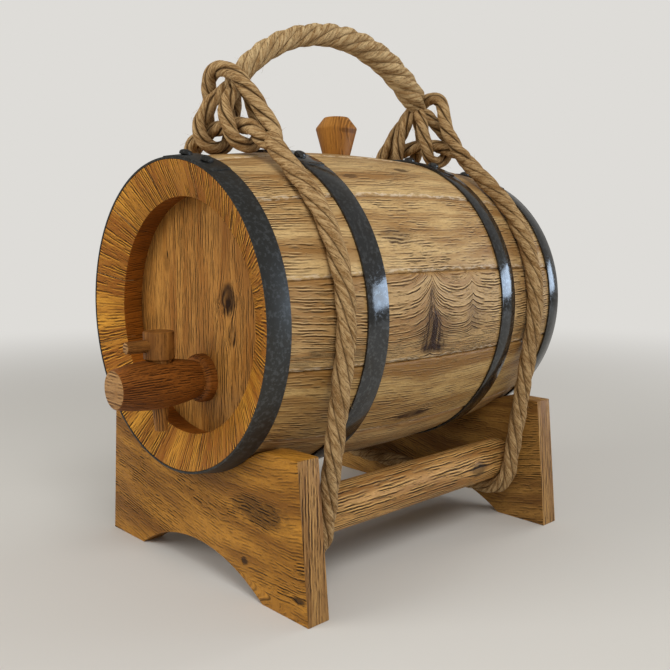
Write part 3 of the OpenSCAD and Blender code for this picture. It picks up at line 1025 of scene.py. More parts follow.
    def build_heads(self, oak: Oak) -> None:
        """Builds the six head boards."""
        look = oak.material()
        for end in ("front", "rear"):
            for number, side in enumerate(("left", "middle", "right")):
                node = f"{end}_head_{side}_board"
                low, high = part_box(node)
                centre = (0, low.y, self.axis_z)
                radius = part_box(f"{end}_head_middle_board")[1].z - self.axis_z
                bench = Bench(node + LOOK, "circle", vertices=160, radius=radius, fill_type="NGON",
                              location=centre, rotation=(math.pi / 2, 0, 0))
                if side != "left":
                    bench.cut((low.x, 0, 0), (-1, 0, 0))
                if side != "right":
                    bench.cut((high.x, 0, 0), (1, 0, 0))
                bench.extrude((0, high.y - low.y, 0)).clean()
                bench.bevel_sharp(self.board_round, 60, 2)
                board = bench.done()
                seed = self.head_seed + number * self.head_step + self.rear_step * (end == "rear")
                lay_grain(board, self.head_grain, seed)
                dress(board, node, "keg", "head_oak", look)

    def head_grain(self, points: np.ndarray, normals: np.ndarray) -> np.ndarray:
        """Upright grain, measured from the barrel's axis."""
        return np.stack([points[:, 2] - self.axis_z, points[:, 0], points[:, 1]], axis=1)

    def build_hoops(self, steel: BlackSteel, dull: BlackSteel) -> None:
        """Builds the four hoops with their laps and rivets.

        Args:
            steel: the finish of all but the first hoop.
            dull: the finish of the hoop at the tap's end.
        """
        bright, flat = steel.material(), dull.material()
        for end in ("front_end", "front_quarter", "rear_quarter", "rear_end"):
            look = flat if end == "front_end" else bright
            low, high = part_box(f"{end}_hoop")
            start, stop = low.y - self.mid, high.y - self.mid
            ring = self.strip(f"{end}_ring", start, stop, 0, 0, 360)
            inset = self.lap_inset
            lap = self.strip(f"{end}_lap", start + inset, stop - inset, 1, self.lap_mid, self.lap_angle)
            dress(join([ring, lap], f"{end}_hoop" + LOOK), f"{end}_hoop", "keg", "hoop_steel", look)
            self.build_rivets(end, (start + stop) / 2, look)

    def strip(self, name: str, start: float, stop: float, layer: int, middle: float,
              angle: float) -> bpy.types.Object:
        """Spins a flat strip round the barrel.

        Args:
            name: the piece's name.
            start: first edge along the axis, from the barrel's middle.
            stop: last edge.
            layer: strips that lie under it.
            middle: middle angle of the strip in degrees.
            angle: how far it reaches round.

        Returns:
            The strip.
        """
        base = [self.outer_r(start) + layer * self.hoop_t, self.outer_r(stop) + layer * self.hoop_t]
        thick = self.hoop_t
        if angle < 360:
            base = [radius - self.hoop_t * self.lap_sink for radius in base]
            thick = self.hoop_t * self.lap_share
        tops = [radius + thick for radius in base]
        corners = [(start, base[0]), (stop, base[1]), (stop, tops[1]), (start, tops[0])]
        first = math.radians(middle - angle / 2)
        out = Vector((math.cos(first), 0, math.sin(first)))
        points = [self.centre + Vector((0, away, 0)) + out * radius for away, radius in corners]
        bench = Bench.line(name, points)
        bpy.ops.mesh.edge_face_add()
        if angle < 360:
            bench.spin(14, angle, self.centre, self.y_axis)
        else:
            bpy.ops.mesh.delete(type="ONLY_FACE")
            bench.spin(144, angle, self.centre, self.y_axis)
        bench.clean()
        bench.bevel_sharp(self.hoop_round, 50, 2)
        return bench.done()

    def build_rivets(self, end: str, away: float, look: bpy.types.Material) -> None:
        """Builds the two domed rivets that close a hoop's lap."""
        slope = -away / math.sqrt(self.arc_r ** 2 - away ** 2)
        seat = self.outer_r(away) + 2 * self.hoop_t
        dome = arc((0, 0), self.rivet_r, 0, 90, 5)
        outline = [(-self.rivet_foot, 0), (-self.rivet_foot, self.rivet_r)]
        outline += [(self.rivet_h * z / self.rivet_r, r) for r, z in dome]
        rivets = []
        for number, side in enumerate((-1, 1)):
            rivet = Bench.turned(f"{end}_rivet_{number}", outline, (0, 0, 0), (0, 0, 1), 24).done(60)
            angle = math.radians(self.lap_mid + side * self.rivet_spread)
            tip = Matrix.Rotation(-math.atan(slope), 4, "X")
            turn = Matrix.Rotation(math.pi / 2 - angle, 4, "Y")
            place = Matrix.Translation(self.centre + Vector((0, away, 0))) @ turn
            rivet.data.transform(place @ Matrix.Translation((0, 0, seat)) @ tip)
            rivets.append(rivet)
        node = f"{end}_rivets"
        dress(join(rivets, node + LOOK), node, "keg", "hoop_steel", look)


@dataclass
class Bung:
    """The turned stopper in the top stave."""

    seat_r: float = 10 * MM
    tip_r: float = 8.6 * MM
    wide_r: float = 15 * MM
    top_r: float = 8.7 * MM
    seat_up: float = 23.5 * MM
    wide_up: float = 42.3 * MM
    edge: float = 0.9 * MM
    seed: float = 5.4

    def build(self, oak: Oak) -> None:
        """Turns the bung and dresses it."""
        low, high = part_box("bung")
        axis = ((low.x + high.x) / 2, (low.y + high.y) / 2, low.z)
        height = high.z - low.z
        outline = [(0, 0), (0, self.tip_r), (self.seat_up, self.seat_r), (self.wide_up, self.wide_r),
                   (height, self.top_r), (height, 0)]
        bench = Bench.turned("bung" + LOOK, outline, axis, (0, 0, 1), 40)
        bench.bevel_sharp(self.edge, 20, 3, lambda p: p.z > low.z + self.seat_up)
        bung = bench.done(30)
        middle = np.array([0, axis[1], axis[2]])
        lay_grain(bung, lambda p, n: (p - middle)[:, [2, 0, 1]], self.seed)
        dress(bung, "bung", "bung", "bung_oak", oak.material())


@dataclass
class Tap:
    """The wooden tap: a turned body with a collar, and a tapered key with its handle."""

    collar_r: float = 15.7 * MM
    collar_t: float = 7.7 * MM
    end_r: float = 12 * MM
    belly_r: float = 15.5 * MM
    head_r: float = 9.6 * MM
    head_h: float = 17.4 * MM
    tip_r: float = 3.8 * MM
    taper: float = 0.0929
    bore_r: float = 2.5 * MM
    handle_r: float = 4.5 * MM
    handle_end_r: float = 3.6 * MM
    tail_r: float = 10 * MM
    key_mid_r: float = 6.56 * MM
    key_top_r: float = 8.0 * MM
    key_reach: float = 30 * MM
    bore_deep: float = 12 * MM
    front_edge: float = 0.8 * MM
    head_edge: float = 0.9 * MM
    tip_edge: float = 0.5 * MM
    handle_edge: float = 0.7 * MM
    body_seed: float = 7.3
    key_seed: float = 8.9
    handle_seed: float = 9.6
    axis_z: float = field(init=False)
    front: float = field(init=False)
    back: float = field(init=False)
    face: float = field(init=False)
    key_y: float = field(init=False)

    def __post_init__(self) -> None:
        """Reads the tap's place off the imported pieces."""
        low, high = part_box("tap_body")
        self.axis_z = (low.z + high.z) / 2
        self.front, self.back = low.y, high.y
        self.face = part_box("front_head_middle_board")[0].y
        key_low, key_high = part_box("tap_key")
        self.key_y = (key_low.y + key_high.y) / 2

    def build(self, oak: Oak, end: Oak, key_oak: Oak) -> None:
        """Builds the body, the key and the key's handle.

        Args:
            oak: the body's finish.
            end: the pale cut ends.
            key_oak: the key's finish.
        """
        end_look, key_look = end.material(), key_oak.material()
        self.build_body(oak.material(), end_look)
        self.build_key(key_look)
        self.build_handle(key_look, end_look)

    def lengthwise(self, points: np.ndarray, normals: np.ndarray) -> np.ndarray:
        """Grain along the tap, and level lines on its cut end."""
        x, y, z = points[:, 0], points[:, 1], points[:, 2] - self.axis_z
        cut = np.abs(normals[:, 1]) > CUT_SQUARE
        round_it, radius = np.arctan2(x, z) * self.belly_r, np.hypot(x, z)
        deep = np.where(cut, END_DEPTH, radius * 0.2)
        return np.stack([np.where(cut, x, y), np.where(cut, z, round_it), deep], axis=1)

    def build_body(self, look: bpy.types.Material, end_look: bpy.types.Material) -> None:
        """Turns the body and its collar and cuts the key's hole."""
        length = self.face - self.front
        collar = length - self.collar_t
        run = collar / 2
        sag = self.belly_r - self.end_r
        bow_r = (run ** 2 + sag ** 2) / (2 * sag)
        reach = math.degrees(math.asin(run / bow_r))
        bow = arc((run, self.belly_r - bow_r), bow_r, 90 + reach, 90 - reach, 16)
        lip_r = self.collar_t / 2
        lip = arc((collar + lip_r, self.collar_r - lip_r), lip_r, 180, 90, 6)
        outline = [(0, 0), *bow, *lip, (length, self.collar_r), (length, self.end_r),
                   (self.back - self.front, self.tail_r), (self.back - self.front, 0)]
        bench = Bench.turned("tap_body" + LOOK, outline, (0, self.front, self.axis_z), (0, 1, 0), 56)
        bench.bevel_sharp(self.front_edge, 50, 3, lambda p: p.y < self.front + 2 * MM)
        body = bench.done(40)
        ends = (-self.key_reach, self.key_reach)
        hole = [(ends[0], 0), *((up, self.key_r(up)) for up in ends), (ends[1], 0)]
        body = carve(body, Bench.turned("hole", hole, (0, self.key_y, self.axis_z), (0, 0, 1), 40).done())
        lay_grain(body, self.lengthwise, self.body_seed)
        dress(body, "tap_body", "keg", "tap_oak", look, end_look)
        choose_faces(body, lambda face: face.normal.y < -CUT_SQUARE and face.center.y < self.front + 1 * MM)

    def key_r(self, up: float) -> float:
        """Radius of the key's taper at a height over the tap's axis."""
        return self.key_mid_r + up * self.taper

    def build_key(self, look: bpy.types.Material) -> None:
        """Turns the key with its head and its spout."""
        low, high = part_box("tap_key")
        bottom, top = low.z, high.z
        shoulder = top - self.head_h
        outline = [(self.bore_deep, 0), (self.bore_deep, self.bore_r), (0, self.bore_r), (0, self.tip_r),
                   (shoulder - bottom, self.key_top_r), (shoulder - bottom, self.head_r),
                   (top - bottom, self.head_r), (top - bottom, 0)]
        bench = Bench.turned("tap_key" + LOOK, outline, (0, self.key_y, bottom), (0, 0, 1), 40)
        bench.bevel_sharp(self.head_edge, 50, 3, lambda p: p.z > shoulder - 1 * MM)
        bench.bevel_sharp(self.tip_edge, 50, 2, lambda p: p.z < bottom + 1 * MM)
        key = bench.done(40)
        middle = np.array([0, self.key_y, 0])
        lay_grain(key, lambda p, n: (p - middle)[:, [2, 0, 1]], self.key_seed)
        dress(key, "tap_key", "tap_key", "tap_oak", look)

    def build_handle(self, look: bpy.types.Material, end_look: bpy.types.Material) -> None:
        """Turns the dowel that turns the key."""
        low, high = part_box("tap_key_handle")
        length = high.y - low.y
        outline = [(0, 0), (0, self.handle_end_r), (length, self.handle_r), (length, 0)]
        centre = (0, low.y, (low.z + high.z) / 2)
        bench = Bench.turned("tap_key_handle" + LOOK, outline, centre, (0, 1, 0), 32)
        bench.bevel_sharp(self.handle_edge, 50, 3)
        handle = bench.done(40)
        rise = np.array([0, 0, centre[2] - self.axis_z])
        lay_grain(handle, lambda p, n: self.lengthwise(p - rise, n), self.handle_seed)
        dress(handle, "tap_key_handle", "tap_key", "tap_oak", look, end_look)
        choose_faces(handle, lambda face: face.normal.y < -CUT_SQUARE)


@dataclass
class Stand:
    """Two cradle boards joined by two turned rungs."""

    foot_in: float = 69.4 * MM
    horn_x: float = 103.2 * MM
    horn_mid: Point = (79.45 * MM, 60 * MM)
    horn_r: float = 35 * MM
    arch_r: float = 122.3 * MM
    arch_z: float = -100.7 * MM
    saddle_outer: float = 99.31 * MM
    saddle_inner: float = 101.38 * MM
    edge: float = 0.9 * MM
    rung_r: float = 14.9 * MM
    rung_round: float = 5 * MM
    knot_y: float = 85.3 * MM
    knot_round: float = -22.8 * MM
    knot_l: float = 11 * MM
    knot_w: float = 7 * MM
    tenon_r: float = 9.9 * MM
    grain_fall: float = 0.2
    grain_level: float = 62 * MM
    grain_turn: float = 22 * MM
    grain_rise: float = 0.4
    rise_from: float = 84 * MM
    rise_turn: float = 9 * MM
    tenon_edge: float = 1 * MM
    cradle_seed: float = 11.2
    cradle_step: float = 2.6
    rung_seed: float = 15.1
    rung_step: float = 1.9

    def outline(self, axis_z: float, foot_x: float, top: float) -> list[tuple[float, float]]:
        """The cradle's outline on its outer face, in x and z.

        Args:
            axis_z: height of the barrel's axis.
            foot_x: outer edge of a foot.
            top: height of the horns.

        Returns:
            The points of the closed outline.
        """
        across, up = self.horn_mid[0], self.horn_mid[1] - axis_z
        lean = math.degrees(math.atan2(up, across))
        horn = arc(self.horn_mid, self.horn_r, 90, 180 + lean, 7)
        saddle = arc((0, axis_z), self.saddle_outer, lean, -180 - lean, 40)
        mirrored = [(-x, z) for x, z in reversed(horn)]
        open_angle = math.degrees(math.asin(-self.arch_z / self.arch_r))
        arch = arc((0, self.arch_z), self.arch_r, 180 - open_angle, open_angle, 28)
        return [(foot_x, 0), (self.horn_x, top), *horn, *saddle, *mirrored, (-self.horn_x, top),
                (-foot_x, 0), *arch]

    def board_grain(self, points: np.ndarray, normals: np.ndarray) -> np.ndarray:
        """Grain that falls to the right and rises again on the faces, and runs upright on the ends."""
        x, y, z = points[:, 0], points[:, 1], points[:, 2]
        fallen = np.log1p(np.exp((self.grain_level - x) / self.grain_turn))
        risen = np.log1p(np.exp((x - self.rise_from) / self.rise_turn))
        level = z - self.grain_fall * self.grain_turn * fallen - self.grain_rise * self.rise_turn * risen
        ends = np.abs(normals[:, 0]) > ENDWISE
        return np.stack([np.where(ends, z, x), np.where(ends, y, level), np.where(ends, x, y)], axis=1)

    def build_cradles(self, faces: tuple[Oak, Oak], end: Oak, axis_z: float) -> None:
        """Builds the front and the rear board.

        Args:
            faces: their finishes.
            end: the finish of the boards' upright ends.
            axis_z: height of the barrel's axis.
        """
        end_look = end.material()
        for number, node in enumerate(("front_cradle", "rear_cradle")):
            low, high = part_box(node)
            outer, inner = (low.y, high.y) if number == 0 else (high.y, low.y)
            points = [(x, outer, z) for x, z in self.outline(axis_z, high.x, high.z)]
            bench = Bench.line(node + LOOK, points)
            bench.extrude((0, inner - outer, 0)).clean()
            bench.pick(Part.VERTEX, lambda p: abs(p.y - inner) < 1e-6
                       and abs(math.hypot(p.x, p.z - axis_z) - self.saddle_outer) < 0.01 * MM)
            grow = self.saddle_inner / self.saddle_outer
            bpy.ops.transform.resize(value=(grow, 1, grow), center_override=(0, inner, axis_z))
            bench.bevel_sharp(self.edge, 35, 3)
            cradle = bench.done(30)
            lay_grain(cradle, self.board_grain, self.cradle_seed + self.cradle_step * number)
            dress(cradle, node, "keg", "stand_oak", faces[number].material(), end_look)
            choose_faces(cradle, lambda face: abs(face.normal.x) > ENDWISE)

    def build_rungs(self, oak: Oak) -> None:
        """Turns the two rungs that tie the cradles."""
        for number, node in enumerate(("left_rung", "right_rung")):
            low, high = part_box(node)
            look = oak
            if node == "right_rung":
                knot = Knot(self.knot_y - low.y, self.knot_round, self.knot_l, self.knot_w, 0.6, 0.5)
                look = replace(oak, name="knotty rung oak", knots=(knot,))
            centre = ((low.x + high.x) / 2, low.y, (low.z + high.z) / 2)
            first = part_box("front_cradle")[1].y - low.y
            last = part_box("rear_cradle")[0].y - low.y
            length = high.y - low.y
            soft = self.rung_r - self.rung_round
            start = arc((first + self.rung_round, soft), self.rung_round, 180, 90, 6)
            stop = arc((last - self.rung_round, soft), self.rung_round, 90, 0, 6)
            edge = self.tenon_edge
            outline = [(0, 0), (0, self.tenon_r - edge), (edge, self.tenon_r), (first, self.tenon_r), *start,
                       *stop, (last, self.tenon_r), (length - edge, self.tenon_r),
                       (length, self.tenon_r - edge), (length, 0)]
            rung = Bench.turned(node + LOOK, outline, centre, (0, 1, 0), 48).done(40)
            middle = np.array(centre)
            seed = self.rung_seed + self.rung_step * number
            lay_grain(rung, lambda p, n: self.rung_grain(p - middle), seed)
            dress(rung, node, "keg", "stand_oak", look.material())

    def rung_grain(self, points: np.ndarray) -> np.ndarray:
        """Grain along the rung, with its lines all round it."""
        round_it = np.arctan2(-points[:, 0], points[:, 2]) * self.rung_r
        return np.stack([points[:, 1], round_it, np.full_like(round_it, END_DEPTH)], axis=1)


@dataclass
class Sheaf:
    """A mesh that grows tube by tube, with a lay and a seed at each corner."""

    points: list[np.ndarray] = field(default_factory=list)
    faces: list[tuple[int, ...]] = field(default_factory=list)
    lays: list[np.ndarray] = field(default_factory=list)
    seeds: list[float] = field(default_factory=list)
    total: int = 0

    def tube(self, rings: np.ndarray, lays: np.ndarray, seed: float) -> None:
        """Adds a tube that is closed at both ends.

        Args:
            rings: its points, ring by ring.
            lays: the lay at each point, with one more column that closes the ring.
            seed: the tube's own seed.
        """
        count, sides = rings.shape[:2]
        spots = self.total + np.arange(count * sides).reshape(count, sides)
        beside = np.roll(spots, -1, axis=1)
        walls = np.stack([spots[:-1], beside[:-1], beside[1:], spots[1:]], axis=2).reshape(-1, 4)
        corners = np.stack([lays[:-1, :-1], lays[:-1, 1:], lays[1:, 1:], lays[1:, :-1]], axis=2)
        self.faces += [tuple(face) for face in (*walls.tolist(), spots[0, ::-1].tolist(), spots[-1].tolist())]
        self.lays += [corners.reshape(-1, 3), lays[0, -2::-1], lays[-1, :-1]]
        self.seeds += [seed] * (walls.size + 2 * sides)
        self.points.append(rings.reshape(-1, 3))
        self.total += count * sides

    def piece(self, name: str) -> bpy.types.Object:
        """Makes the mesh object."""
        mesh = bpy.data.meshes.new(name)
        mesh.from_pydata(np.concatenate(self.points).tolist(), [], self.faces)
        layer = mesh.attributes.new("lay", "FLOAT_VECTOR", "CORNER")
        layer.data.foreach_set("vector", np.concatenate(self.lays).astype(np.float32).ravel())
        cut = mesh.attributes.new("seed", "FLOAT", "CORNER")
        cut.data.foreach_set("value", np.array(self.seeds, np.float32))
        mesh.shade_smooth()
        rope = bpy.data.objects.new(name, mesh)
        bpy.context.scene.collection.objects.link(rope)
        return rope


@dataclass
class Rope:
    """A laid rope: strands that wind round a route, each with its own yarns."""

    diameter: float
    strands: int = 3
    pitch: float = 38 * MM
    strand_share: float = 0.5
    flat: float = 1.15
    step: float = 2 * MM
    sides: int = 20
    yarns: int = 5
    yarn_depth: float = 0.05
    hairs_per_m: float = 220
    taper: float = 4 * MM
    end_share: float = 0.2
    swell: float = 0.0
    swell_from: float = 0.3
    swell_to: float = 0.8
    swell_gap: float = 9 * MM
    yarn_twist: float = 260
    uneven: tuple[Point, ...] = ((0.03, 310), (0.04, 127))
    hair_l: Point = (2 * MM, 7 * MM)
    hair_r: float = 0.11 * MM
    hair_foot: float = 0.44

    def model(self, name: str, route: np.ndarray, seed: int) -> bpy.types.Object:
        """Models the rope along a route.

        Args:
            name: the piece's name.
            route: the points of its middle line.
            seed: sets its unevenness and its loose fibres.

        Returns:
            The rope.
        """
        draw = random.Random(seed)
        line, length = self._even(route)
        frames = self._frames(line)
        sheaf = Sheaf()
        for strand in range(self.strands):
            self._strand(sheaf, strand, line, frames, draw)
        for _ in range(int(length * self.hairs_per_m)):
            self._hair(sheaf, line, frames, draw)
        return sheaf.piece(name)

    def _even(self, route: np.ndarray) -> tuple[np.ndarray, float]:
        """The route with points an even step apart, and its length."""
        gaps = np.linalg.norm(np.diff(route, axis=0), axis=1)
        places = np.concatenate([[0], np.cumsum(gaps)])
        count = max(int(places[-1] / self.step), 4)
        even = np.linspace(0, places[-1], count + 1)
        return np.stack([np.interp(even, places, route[:, k]) for k in range(3)], axis=1), places[-1]

    @staticmethod
    def _frames(line: np.ndarray) -> np.ndarray:
        """Two directions across the line at each point, carried along it without twist."""
        runs = np.gradient(line, axis=0)
        runs /= np.linalg.norm(runs, axis=1)[:, None]
        side = np.cross(runs[0], [0.31, 0.83, 0.46])
        frames = []
        for run in runs:
            side = side - run * np.dot(side, run)
            side = side / np.linalg.norm(side)
            frames.append((side, np.cross(run, side)))
        return np.array(frames)

    def _girth(self, place: np.ndarray) -> np.ndarray:
        """The share of the rope's thickness at places along it: less at its ends, more where it swells."""
        def eased(share: np.ndarray) -> np.ndarray:
            """A soft step from 0 to 1."""
            held = np.clip(share, 0, 1)
            return held * held * (3 - 2 * held)
        left = place[-1] - place
        grown = np.sqrt(1 - (1 - np.minimum(np.minimum(place, left) / self.taper, 1)) ** 2)
        late = eased((place / place[-1] - self.swell_from) / (self.swell_to - self.swell_from))
        swell = self.swell * late * eased((left - self.swell_gap) / self.swell_gap)
        return self.end_share + (1 - self.end_share) * grown + swell

    def _strand(self, sheaf: Sheaf, strand: int, line: np.ndarray, frames: np.ndarray,
                draw: random.Random) -> None:
        """Adds one strand.

        Args:
            sheaf: the mesh.
            strand: the strand's number.
            line: the rope's middle line.
            frames: the directions across it.
            draw: the rope's own randomness.
        """
        place = np.arange(len(line)) * self.step
        half = self.diameter / 2
        girth = self._girth(place)[:, None]
        thick = half * self.strand_share
        angle = (2 * math.pi * (strand / self.strands - place / self.pitch))[:, None]
        outward = np.cos(angle) * frames[:, 0] + np.sin(angle) * frames[:, 1]
        middle = line + (half - thick) * girth * outward
        run = np.gradient(middle, axis=0)
        run /= np.linalg.norm(run, axis=1)[:, None]
        across = np.cross(run, outward)
        turn = 2 * math.pi * np.arange(self.sides + 1) / self.sides
        waver = [draw.uniform(0, 6.28) for _ in range(3)]
        waves = zip(self.uneven, waver)
        swell = 1 + sum(size * np.sin(place * often + shift) for (size, often), shift in waves)
        twist = place[:, None] * self.yarn_twist + waver[2]
        yarn = 1 + self.yarn_depth * np.cos(self.yarns * turn[None, :-1] + twist)
        radius = (thick * girth * swell[:, None] * yarn)[:, :, None]
        up, aside = np.cos(turn[:-1])[None, :, None], np.sin(turn[:-1])[None, :, None]
        rings = middle[:, None] + radius * (up * outward[:, None] + self.flat * aside * across[:, None])
        # The lay's third part runs from 0 in a strand's grooves to 1 on its crown; the jute paints shade into
        # the grooves from it.
        lays = np.stack(np.broadcast_arrays(place[:, None], thick * turn, (1 + np.cos(turn)) / 2), axis=2)
        sheaf.tube(rings, lays, draw.uniform(0, 20))

    def _hair(self, sheaf: Sheaf, line: np.ndarray, frames: np.ndarray, draw: random.Random) -> None:
        """Adds one loose fibre that leaves the rope's surface and curls.

        Args:
            sheaf: the mesh.
            line: the rope's middle line.
            frames: the directions across it.
            draw: the rope's own randomness.
        """
        spot = draw.randrange(2, len(line) - 2)
        angle = draw.uniform(0, 2 * math.pi)
        outward = math.cos(angle) * frames[spot, 0] + math.sin(angle) * frames[spot, 1]
        run = line[spot + 1] - line[spot - 1]
        run = run / np.linalg.norm(run) * draw.choice((-1, 1))
        across = np.cross(run, outward)
        length = draw.uniform(*self.hair_l)
        lift, bend = draw.uniform(0.3, 1.0), draw.uniform(-0.6, 0.6)
        share = np.linspace(0, 1, 4)[:, None, None]
        turn = 2 * math.pi * np.arange(3)[None, :, None] / 3
        middle = line[spot] + outward * self.diameter * self.hair_foot + length * (
            share * run * 0.8 + share ** 1.3 * outward * lift + share ** 2 * across * bend)
        thick = self.hair_r * (1 - 0.6 * share)
        rings = middle + thick * (np.cos(turn) * outward + np.sin(turn) * across)
        lays = np.broadcast_to(np.array([0.0, 0.0, 1.0]), (4, 4, 3))
        sheaf.tube(rings, lays, draw.uniform(0, 20))


def smooth_route(points: Sequence[Point], per: int = 10) -> np.ndarray:
    """Runs one smooth line through given points.

    Args:
        points: the points.
        per: stretches between two of them.

    Returns:
        The points of the line.
    """
    known = np.array(points, float)
    ends = [2 * known[0] - known[1], *known, 2 * known[-1] - known[-2]]
    made = []
    for a, b, c, d in zip(ends, ends[1:], ends[2:], ends[3:]):
        for k in range(per):
            t = k / per
            made.append(0.5 * (2 * b + (c - a) * t + (2 * a - 5 * b + 4 * c - d) * t ** 2
                               + (3 * b - a - 3 * c + d) * t ** 3))
    return np.array([*made, known[-1]])


@dataclass
class RopeWork:
    """Two slings round the barrel and the rungs, their knots, and the handle between them."""

    sling_d: float = 12 * MM
    knot_d: float = 9.5 * MM
    knot_swell: float = 1.12
    bight_swell: float = 1.05
    handle_d: float = 14.5 * MM
    lay_r: float = 109.31 * MM
    bed_r: float = 103.16 * MM
    lift_angle: float = 48.5
    lift_l: float = 46 * MM
    leave_angle: float = -9.16
    rung_way: float = 21.05 * MM
    handle_r: float = 118 * MM
    handle_swell: float = 0.38
    handle_lift: float = 44 * MM
    handle_rise: float = 73.89 * MM
    handle_from: float = 36.6
    sling_seed: int = 10
    knot_seed: int = 20
    knot_step: int = 10
    handle_seed: int = 50
    cross_half: tuple[Point, ...] = (
        (46.3, 1, 0.5), (40.6, 2.6, 4.6), (35.2, 3.9, 8.8), (30.5, 2.4, 11.4), (23.5, 0.8, 14.4),
        (13, 0, 16.8))
    cross_top: Point = (0, 0, 17.6)
    over_start: tuple[Point, ...] = ((47.8, -1.4, 2.1), (43.3, -3.2, 7.7), (38.9, -4.6, 12.6))
    over_mid: tuple[Point, ...] = (
        (33.6, -3.4, 20.5), (27.6, -1.6, 29.5), (20.4, 0.6, 39), (9.5, 2.6, 48.8), (-3.6, 3, 54),
        (-14.4, 2.4, 52.3), (-20.8, 0.6, 44.6), (-23.8, -1.4, 35), (-29.4, -3.4, 25.5))
    left_bight: tuple[Point, ...] = (
        (-3, -5, 45.5), (-5.8, -1.2, 41.8), (-8, 1.4, 37.4), (-11.5, 7, 31.6), (-17.5, 10.6, 20.5),
        (-18, 8.2, 9), (-15, 0, 4.2), (-13.5, -8.2, 9), (-12, -10.8, 21), (-9.4, -11, 31), (-5.5, -9.5, 39.5),
        (-2.5, -7, 46))
    right_bight: tuple[Point, ...] = (
        (2.5, -5, 45), (4.8, -0.8, 40.8), (6.6, 2, 36.4), (8.4, 7.4, 31.4), (11.5, 10.8, 22), (16.5, 9.2, 9),
        (20.5, 0, 3.2), (19, -9, 8.6), (15, -11, 20), (10.4, -11, 31), (6, -9.5, 39.5), (2.5, -7, 46))

    def build(self, jute: Jute, painted_light: Jute, barrel: Barrel) -> None:
        """Builds the slings, the knots and the handle.

        Args:
            jute: the handle's finish.
            painted_light: the finish of the slings and the knots, a darker jute that paints their shade.
            barrel: what the slings lie on.
        """
        # The slings and the knots take a darker jute than the handle: painted shade for where they lie in
        # shadow.
        look = painted_light.material()
        sling = Rope(self.sling_d, strands=4, pitch=84 * MM, strand_share=0.46, flat=1.1, taper=14 * MM)
        knot = Rope(self.knot_d * self.knot_swell, pitch=60 * MM, strand_share=0.52, flat=1.1, taper=8 * MM)
        bight = replace(knot, diameter=self.knot_d * self.bight_swell)
        for number, end in enumerate(("front", "rear")):
            low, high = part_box(f"{end}_sling")
            place = (low.y + high.y) / 2
            route = self.sling_route(place, barrel)
            self.lay(sling, f"{end}_sling", route, self.sling_seed + number, look)
            top = barrel.axis_z + self.bed_r
            turn = -1 if end == "rear" else 1
            for count, (part, points) in enumerate(self.knot_routes(end == "rear").items()):
                spots = [(turn * x * MM, place - turn * away * MM, top + up * MM) for x, away, up in points]
                rope = bight if part.endswith("bight") else knot
                seed = self.knot_seed + self.knot_step * number + count
                self.lay(rope, f"{end}_{part}", smooth_route(spots), seed, look)
        handle = Rope(self.handle_d, strands=5, pitch=86 * MM, strand_share=0.4, flat=1.08, taper=22 * MM,
                      end_share=0.5, swell=self.handle_swell)
        arch = self.handle_route(barrel)
        self.lay(handle, "handle_rope", arch, self.handle_seed, jute.material(), "handle")

    def lay(self, rope: Rope, node: str, route: np.ndarray, seed: int, look: bpy.types.Material,
            body: str = "keg") -> None:
        """Models one rope and puts it in its node's place."""
        dress(rope.model(node + LOOK, route, seed), node, body, "jute_rope", look)

    def sling_route(self, place: float, barrel: Barrel) -> np.ndarray:
        """The sling's way down one side, under both rungs and up the other side.

        Args:
            place: where the sling lies along the barrel.
            barrel: what it lies on.

        Returns:
            The points of its middle line.
        """
        low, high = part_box("right_rung")
        rung = ((low.x + high.x) / 2, (low.z + high.z) / 2)
        down = arc((0, barrel.axis_z), self.lay_r, self.lift_angle, self.leave_angle, 40)
        under = arc(rung, self.rung_way, self.leave_angle, -90, 20)
        lift = math.radians(self.lift_angle)
        split = (down[0][0] - self.lift_l * math.sin(lift), down[0][1] + self.lift_l * math.cos(lift))
        half = [split] + down + under
        flat = half + [(-x, z) for x, z in reversed(half)]
        return np.array([(x, place, z) for x, z in flat])

    def knot_routes(self, rear: bool) -> dict[str, list[Point]]:
        """A knot's four ropes, as points of (across, outwards, up) in millimetres.

        Args:
            rear: whether the knot is turned half round, which swaps its two bights.

        Returns:
            The points by the rope's name.
        """
        def other(half: Sequence[Point]) -> list[Point]:
            """The same points on the other side, in turned order."""
            return [(-x, away, up) for x, away, up in reversed(half)]
        left, right = list(self.left_bight), list(self.right_bight)
        return {
            "cross_rope": [*self.cross_half, self.cross_top, *other(self.cross_half)],
            "over_rope": [*self.over_start, *self.over_mid, *other(self.over_start)],
            "left_bight": right if rear else left,
            "right_bight": left if rear else right,
        }

    def handle_route(self, barrel: Barrel) -> np.ndarray:
        """The handle's arch from knot to knot."""
        middle = barrel.axis_z + self.bed_r + self.handle_lift - self.handle_rise
        bow = arc((barrel.mid, middle), self.handle_r, self.handle_from, 180 - self.handle_from, 60)
        return np.array([(0.0, y, z) for y, z in reversed(bow)])


class Glow(Enum):
    """What a lamp does: light surfaces or be mirrored by them."""

    LIT = "light without a mirrored lamp"
    MIRRORED = "a mirrored lamp without light"


